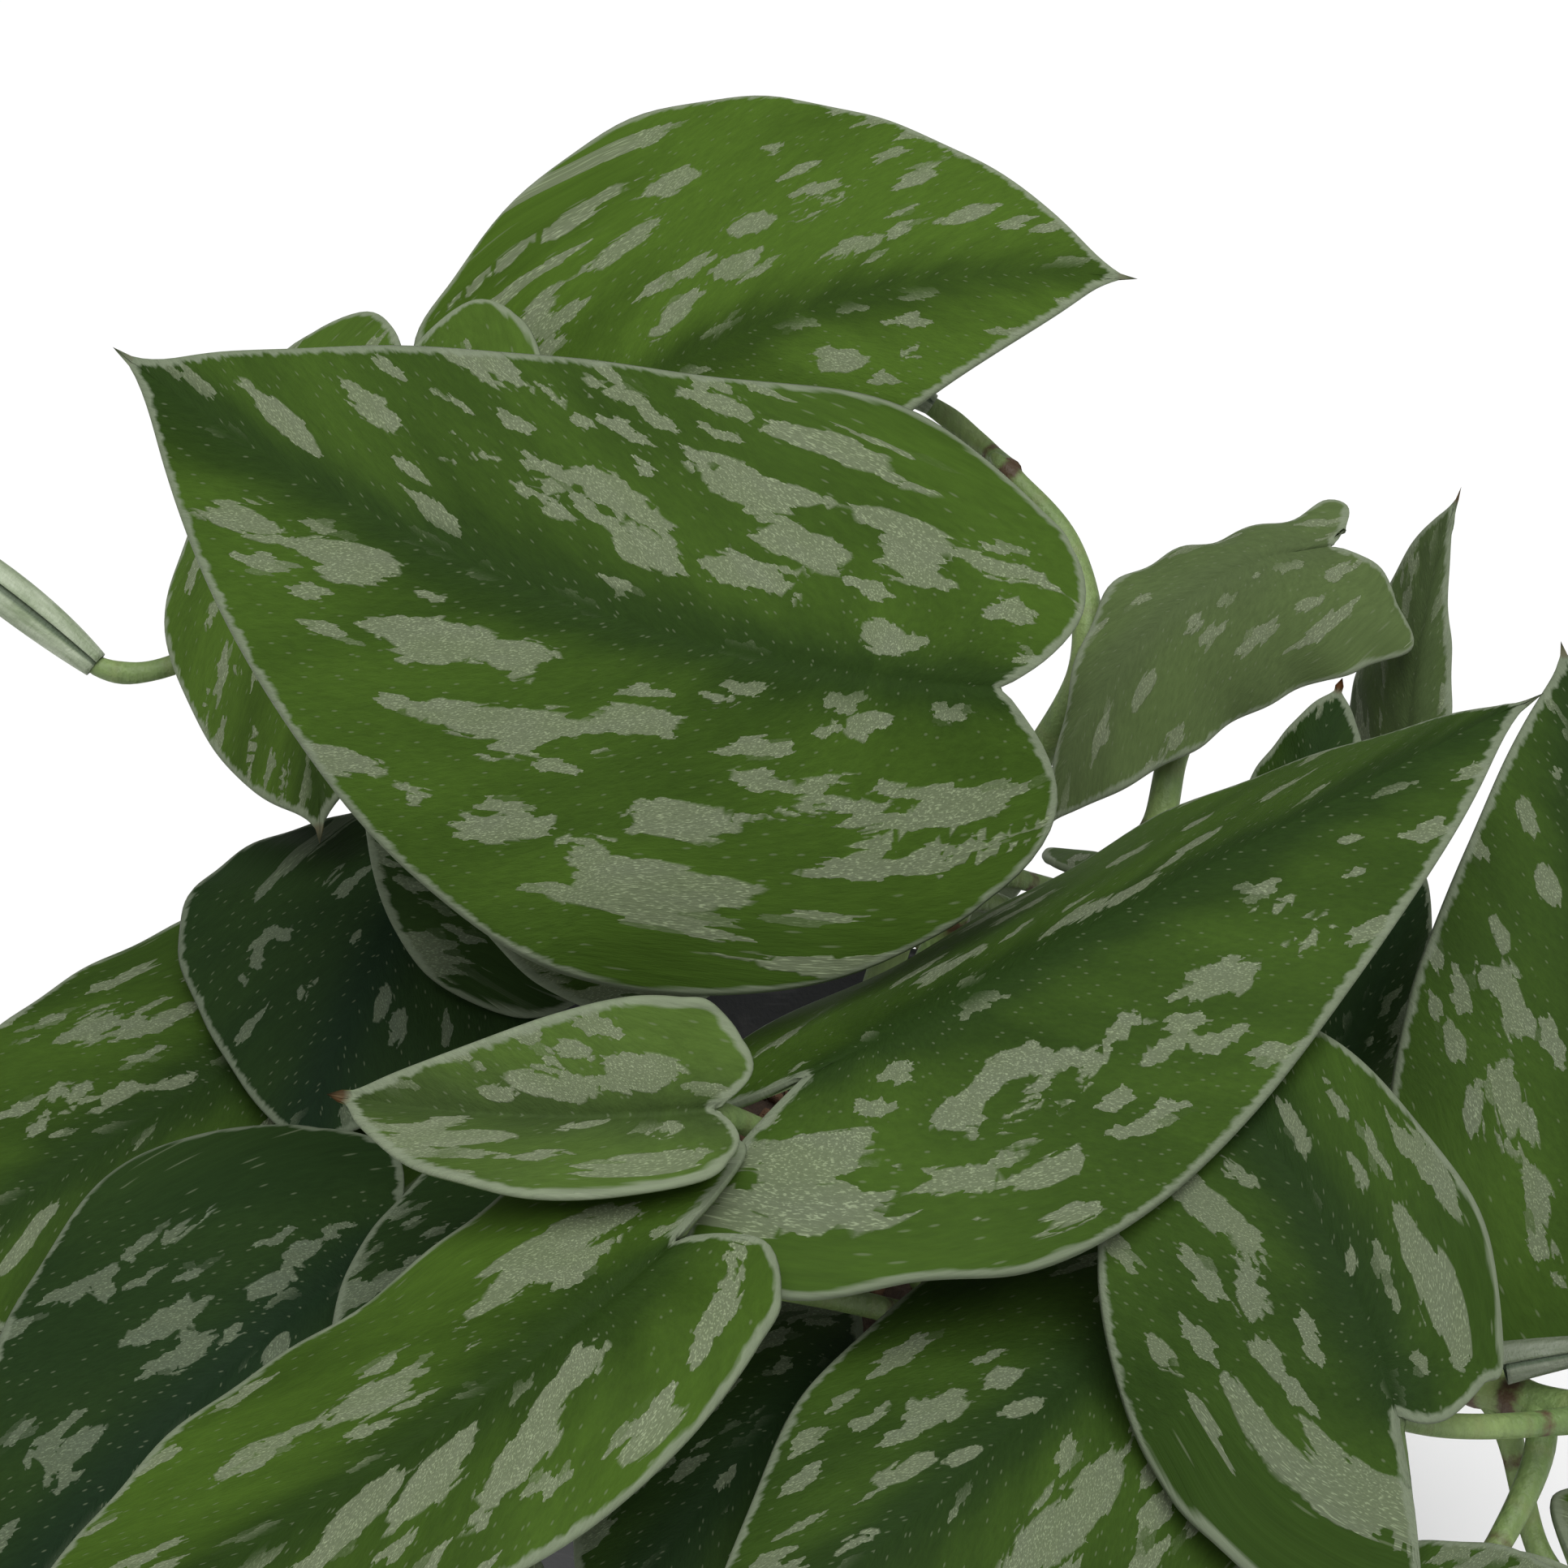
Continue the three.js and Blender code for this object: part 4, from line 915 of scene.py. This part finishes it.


# LIT_GREEN is the blade green painted as if in full light, SHADED_GREEN as if in shade; SHADED_SILVER is the
# silver, margin and underside painted as if in shade.
LIT_GREEN = (0.058, 0.112, 0.012)
BLADE_GREEN = (0.026, 0.054, 0.005)
SHADED_GREEN = (0.008, 0.020, 0.009)
SILVER = (0.172, 0.200, 0.124)
SHADED_SILVER = (0.060, 0.082, 0.056)
MARGIN = (0.21, 0.245, 0.165)
YOUNG_GREEN = (0.105, 0.140, 0.060)
UNDERSIDE = (0.105, 0.145, 0.060)
TIP_BROWN = (0.07, 0.03, 0.01)
SEED_SHIFT = 7.3
CELLS_ALONG_VEIN = 0.72
CELLS_ACROSS_VEIN = 0.86
SILVER_EDGE = 38.0
SILVER_COVER = 0.92
MIDRIB_DARK_MM = 4.2
DRY_TIP_MM = 1.7
RIM_MM = 1.2
FULL_TURN = 6.2832


def leaf_paint():
    """Green, darker along the midrib and side veins, with silver patches whose ragged edges follow the
    veins: small cells set square to the veins take one value each of a slow pattern, and those over a level
    are silver."""
    p = Paint("satin_leaf")
    place = p.read("place", "Vector")
    across, along, inset = p.split(place)
    seed, painted_shade, youth = p.split(p.read("kind", "Vector"))
    under, to_tip, silver_share = p.split(p.read("part", "Vector"))
    shift = seed * SEED_SHIFT
    flat = p.join(across, along, shift)
    jitter = p.noise(flat, 1.6, 2.0) - 0.5
    on_vein = across * VEIN_STRETCH
    off_vein = along / VEIN_STRETCH
    spot_x = on_vein * CELLS_ALONG_VEIN + shift + jitter * 0.7
    spot_y = off_vein * CELLS_ACROSS_VEIN + shift + jitter * 0.8
    spot = p.join(spot_x, spot_y)
    cell = p.cells(spot, "Position", 0.9, "CHEBYCHEV")
    cell_x, cell_y, _ = p.split(cell)
    slow = p.noise(p.join(cell_x * 0.22, cell_y * 0.23, shift), 1.0, 3.0, 0.6)
    level = 0.605 - silver_share * 0.11 + across.bell(3.2) * 0.12 - inset.bell(1.6) * 0.10
    blotch = ((slow + p.read("patch") - level) * SILVER_EDGE).clear()
    patch_place = p.join(cell_x * 0.28, cell_y * 0.23)
    chance, _, size = p.split(p.cells(patch_place, "Color", 0.9))
    from_middle = p.cells(patch_place, "Distance", 0.9)
    patch = chance.over(0.84 - silver_share * 0.22) * ((0.2 + size * 0.22 - from_middle) * 30.0).clear()
    patch = patch * (1 - across.bell(2.6))
    silver = blotch.most(patch)
    buried = p.noise(flat, 0.22, 1.0)
    silver = silver * (0.80 + ((buried - 0.42) * 3.0).clear() * 0.2)

    broad = p.noise(flat, 0.055, 2.0)
    band = across.bell(MIDRIB_DARK_MM) * 0.75
    vein_line = ((along * (FULL_TURN / VEIN_SPACING_MM)).wave() * 0.5 + 0.5) * across.bell(13.0) * 0.14
    # Painted light and shade: dark takes the green from the lit green towards the blade's own green; it rises
    # along the midrib and side veins, at random, and with the blade's painted shade.
    dark = (band + vein_line + (broad - 0.46) * 2.0 + painted_shade * 0.75).clear()
    green = p.mix(LIT_GREEN, BLADE_GREEN, dark)
    # Shaded blades go on towards the shaded green, as painted shade; the midrib band darkens a little more.
    green = p.mix(green, SHADED_GREEN, (painted_shade * 0.85 + band * 0.3 - 0.1).clear())
    green = p.mix(green, YOUNG_GREEN, youth * 0.7)
    mottle = p.noise(flat, 1.1, 3.0, 0.65)
    green = p.scaled(green, 0.72 + mottle * 0.56)
    speck = p.cells(p.scaled(flat, 0.62), "Distance", 1.0)
    speck_chance, _, _ = p.split(p.cells(p.scaled(flat, 0.62), "Color", 1.0))
    pale = speck_chance.over(0.55) * ((0.13 - speck) * 14.0).clear() * 0.35
    green = p.mix(green, SILVER, pale)

    # Painted glints: fine bright flecks painted into the silver's colour; the same pattern also roughens the
    # bump, and roughness is lower at the flecks.
    glint_and_grain = p.noise(flat, 5.5, 1.0, 0.5)
    painted_glint = ((glint_and_grain - 0.57) * 9.0).clear()
    # Painted shade on the silver: shaded blades take the shaded silver, and the slow buried pattern darkens
    # it at random.
    silver_tone = p.mix(SILVER, SHADED_SILVER, (painted_shade * 0.9 - 0.28 + (buried - 0.5) * 0.5).clear())
    silver_tone = p.scaled(silver_tone, 0.72 + glint_and_grain * 0.40 + painted_glint * 0.75)
    colour = p.mix(green, silver_tone, silver * SILVER_COVER)
    ragged = p.noise(flat, 0.7, 2.0)
    rim = ((RIM_MM + (ragged - 0.5) * 1.6 - inset) * 2.2).clear()
    # The margin and the underside take painted shade too, on shaded blades.
    rim_tone = p.scaled(p.mix(MARGIN, SHADED_SILVER, painted_shade * 0.5), 0.75 + mottle * 0.5)
    colour = p.mix(colour, rim_tone, rim * 0.85)
    below = p.scaled(p.mix(UNDERSIDE, SHADED_SILVER, painted_shade * 0.35), 0.8 + mottle * 0.4)
    colour = p.mix(colour, below, under)
    colour = p.mix(colour, TIP_BROWN, ((DRY_TIP_MM - to_tip) * 0.8).clear())
    rough = 0.56 - silver * 0.06 - painted_glint * silver * 0.16 + mottle * 0.08
    height = p.noise(flat, 2.2, 3.0, 0.6) * 0.6 + silver * 0.25 + glint_and_grain * 0.3 * silver
    return p.finish(colour, rough, height, 0.00016, Specular_IOR_Level=0.05)


def stem_paint():
    """Olive green with fine streaks along it, paler near the leaves and brown and papery at the nodes."""
    p = Paint("stem_skin")
    node = p.read("node")
    run = p.read("run")
    place = p.place()
    x, y, z = p.split(place)
    fine = p.noise(place, 900.0, 3.0, 0.6)
    broad = p.noise(place, 90.0, 2.0)
    streak = p.noise(p.join(x * 1400.0, y * 1400.0, z * 260.0), 1.0, 2.0)
    green = p.mix((0.12, 0.19, 0.055), (0.22, 0.30, 0.10), ((broad - 0.35) * 2.5).clear())
    green = p.scaled(green, 0.7 + streak * 0.55)
    rings = ((run * 0.9).wave() * 0.5 + 0.5) ** 12.0
    green = p.mix(green, (0.20, 0.15, 0.07), rings * 0.12)
    colour = p.mix(green, (0.075, 0.045, 0.02), ((node - 0.35 + (fine - 0.5) * 0.9) * 2.2).clear())
    return p.finish(colour, 0.46 + fine * 0.2, fine + streak * 0.6, 0.00025)


def roll_paint():
    """The pale back of a rolled leaf with long silver streaks; the turns inside are darker."""
    p = Paint("rolled_leaf_skin")
    inner = p.read("inner")
    run = p.read("run")
    wind = p.read("wind")
    flat = p.join(run, wind * 9.0, 0.0)
    streak = p.noise(p.join(run * 0.12, wind * 8.0, 0.0), 1.0, 3.0, 0.6)
    fine = p.noise(flat, 1.7, 3.0, 0.65)
    outside = p.mix((0.15, 0.19, 0.11), (0.30, 0.34, 0.25), ((streak - 0.38) * 3.5).clear())
    # Each rolled leaf is painted brighter or darker as a whole: painted light on the left one, painted shade
    # on the right one.
    outside = p.scaled(outside, (0.8 + fine * 0.4) * p.read("painted_lighting"))
    colour = p.mix(outside, (0.05, 0.085, 0.04), inner * 0.8)
    return p.finish(colour, 0.5 + fine * 0.12, fine, 0.0002)


def pot_paint():
    """Charcoal moulded plastic: even, satin, with a fine grain, faint scuffs and water marks."""
    p = Paint("pot_plastic")
    place = p.place()
    x, y, z = p.split(place)
    grain = p.noise(place, 1500.0, 3.0, 0.6)
    clouds = p.noise(place, 26.0, 4.0, 0.6)
    scuff = p.noise(p.join(x * 60.0, y * 60.0, z * 420.0), 1.0, 3.0, 0.7)
    marks = ((scuff - 0.62) * 7.0).clear()
    splash = ((p.noise(place, 60.0, 4.0, 0.7) - 0.60) * 6.0).clear() * ((z - 0.07) * 40.0).clear()
    colour = p.mix((0.030, 0.032, 0.034), (0.018, 0.019, 0.020), clouds)
    colour = p.mix(colour, (0.10, 0.10, 0.10), marks * 0.3)
    colour = p.mix(colour, (0.12, 0.11, 0.095), splash * 0.3)
    colour = p.scaled(colour, 0.9 + grain * 0.2)
    return p.finish(colour, 0.47 + marks * 0.15 + splash * 0.2 + grain * 0.06, grain, 0.00006)


def soil_paint():
    """Dark moist mix with brown bark and grey-white perlite."""
    p = Paint("potting_mix")
    grain = p.read("grain")
    place = p.place()
    fine = p.noise(place, 900.0, 4.0, 0.7)
    coarse = p.noise(place, 160.0, 3.0, 0.6)
    dark = p.mix((0.018, 0.011, 0.007), (0.075, 0.045, 0.026), fine)
    bark = p.mix((0.05, 0.024, 0.012), (0.16, 0.085, 0.042), coarse)
    colour = p.mix(dark, bark, grain.over(0.25))
    colour = p.mix(colour, (0.52, 0.50, 0.45), grain.over(0.75) * (0.6 + fine * 0.5))
    return p.finish(colour, 0.88, fine + coarse, 0.0006)


LEAF_PAINT = leaf_paint()
STEM_PAINT = stem_paint()
ROLL_PAINT = roll_paint()
POT_PAINT = pot_paint()
SOIL_PAINT = soil_paint()

# ---- the plant ----
# Each blade takes its painted shade and its share of silver from its row of LEAVES.
for number, (leaf, (*_, leaf_painted_shade, leaf_silver)) in enumerate(LEAVES.items()):
    blade = fine_blade(leaf, SEED + number, leaf_painted_shade, leaf_silver)
    settle(blade, ["leaf_" + leaf])
for stem_name in STEMS:
    stem_piece(stem_name)
for roll_name in ROLLED_LEAVES:
    rolled_leaf(roll_name)
make_pot()
make_soil()


# ---- floor, light and camera ----
FLOOR_GREY = (0.9, 0.9, 0.9)
FLOOR_REACH = 60
SKY_STRENGTH = 0.32
LIGHT_FROM = (0.10, -0.42, 0.9)
LIGHT_STRENGTH = 3.0
LIGHT_SPREAD = 55
LENS_MM = 80
SENSOR_MM = 36
CAMERA_PLACE = (0, -0.3787, 0.3609)
CAMERA_DOWN = 27

floor_points = np.array([(-1, -1, 0), (1, -1, 0), (1, 1, 0), (-1, 1, 0)], float) * FLOOR_REACH
floor_paint = Paint("studio_floor").finish((*FLOOR_GREY, 1), 0.9)
floor = piece("studio_floor", [(floor_points, [[0, 1, 2, 3]])], floor_paint)

world = bpy.data.worlds.new("studio")
bpy.context.scene.world = world
world.use_nodes = True
world.node_tree.nodes["Background"].inputs["Color"].default_value = (1, 1, 1, 1)
world.node_tree.nodes["Background"].inputs["Strength"].default_value = SKY_STRENGTH

# A broad, even light whose angular width softens the shadows.
light = bpy.data.lights.new("broad_light", "SUN")
light.energy = LIGHT_STRENGTH
light.angle = np.radians(LIGHT_SPREAD)
lamp = bpy.data.objects.new("broad_light", light)
lamp.rotation_euler = Vector(LIGHT_FROM).to_track_quat("Z", "Y").to_euler()
bpy.context.scene.collection.objects.link(lamp)

camera_data = bpy.data.cameras.new("camera")
camera_data.lens = LENS_MM
camera_data.sensor_width = SENSOR_MM
camera_data.clip_start = 0.01
camera = bpy.data.objects.new("camera", camera_data)
camera.location = CAMERA_PLACE
camera.rotation_euler = (np.radians(90 - CAMERA_DOWN), 0, 0)
bpy.context.scene.collection.objects.link(camera)
bpy.context.scene.camera = camera

bpy.context.scene.view_settings.view_transform = "Standard"
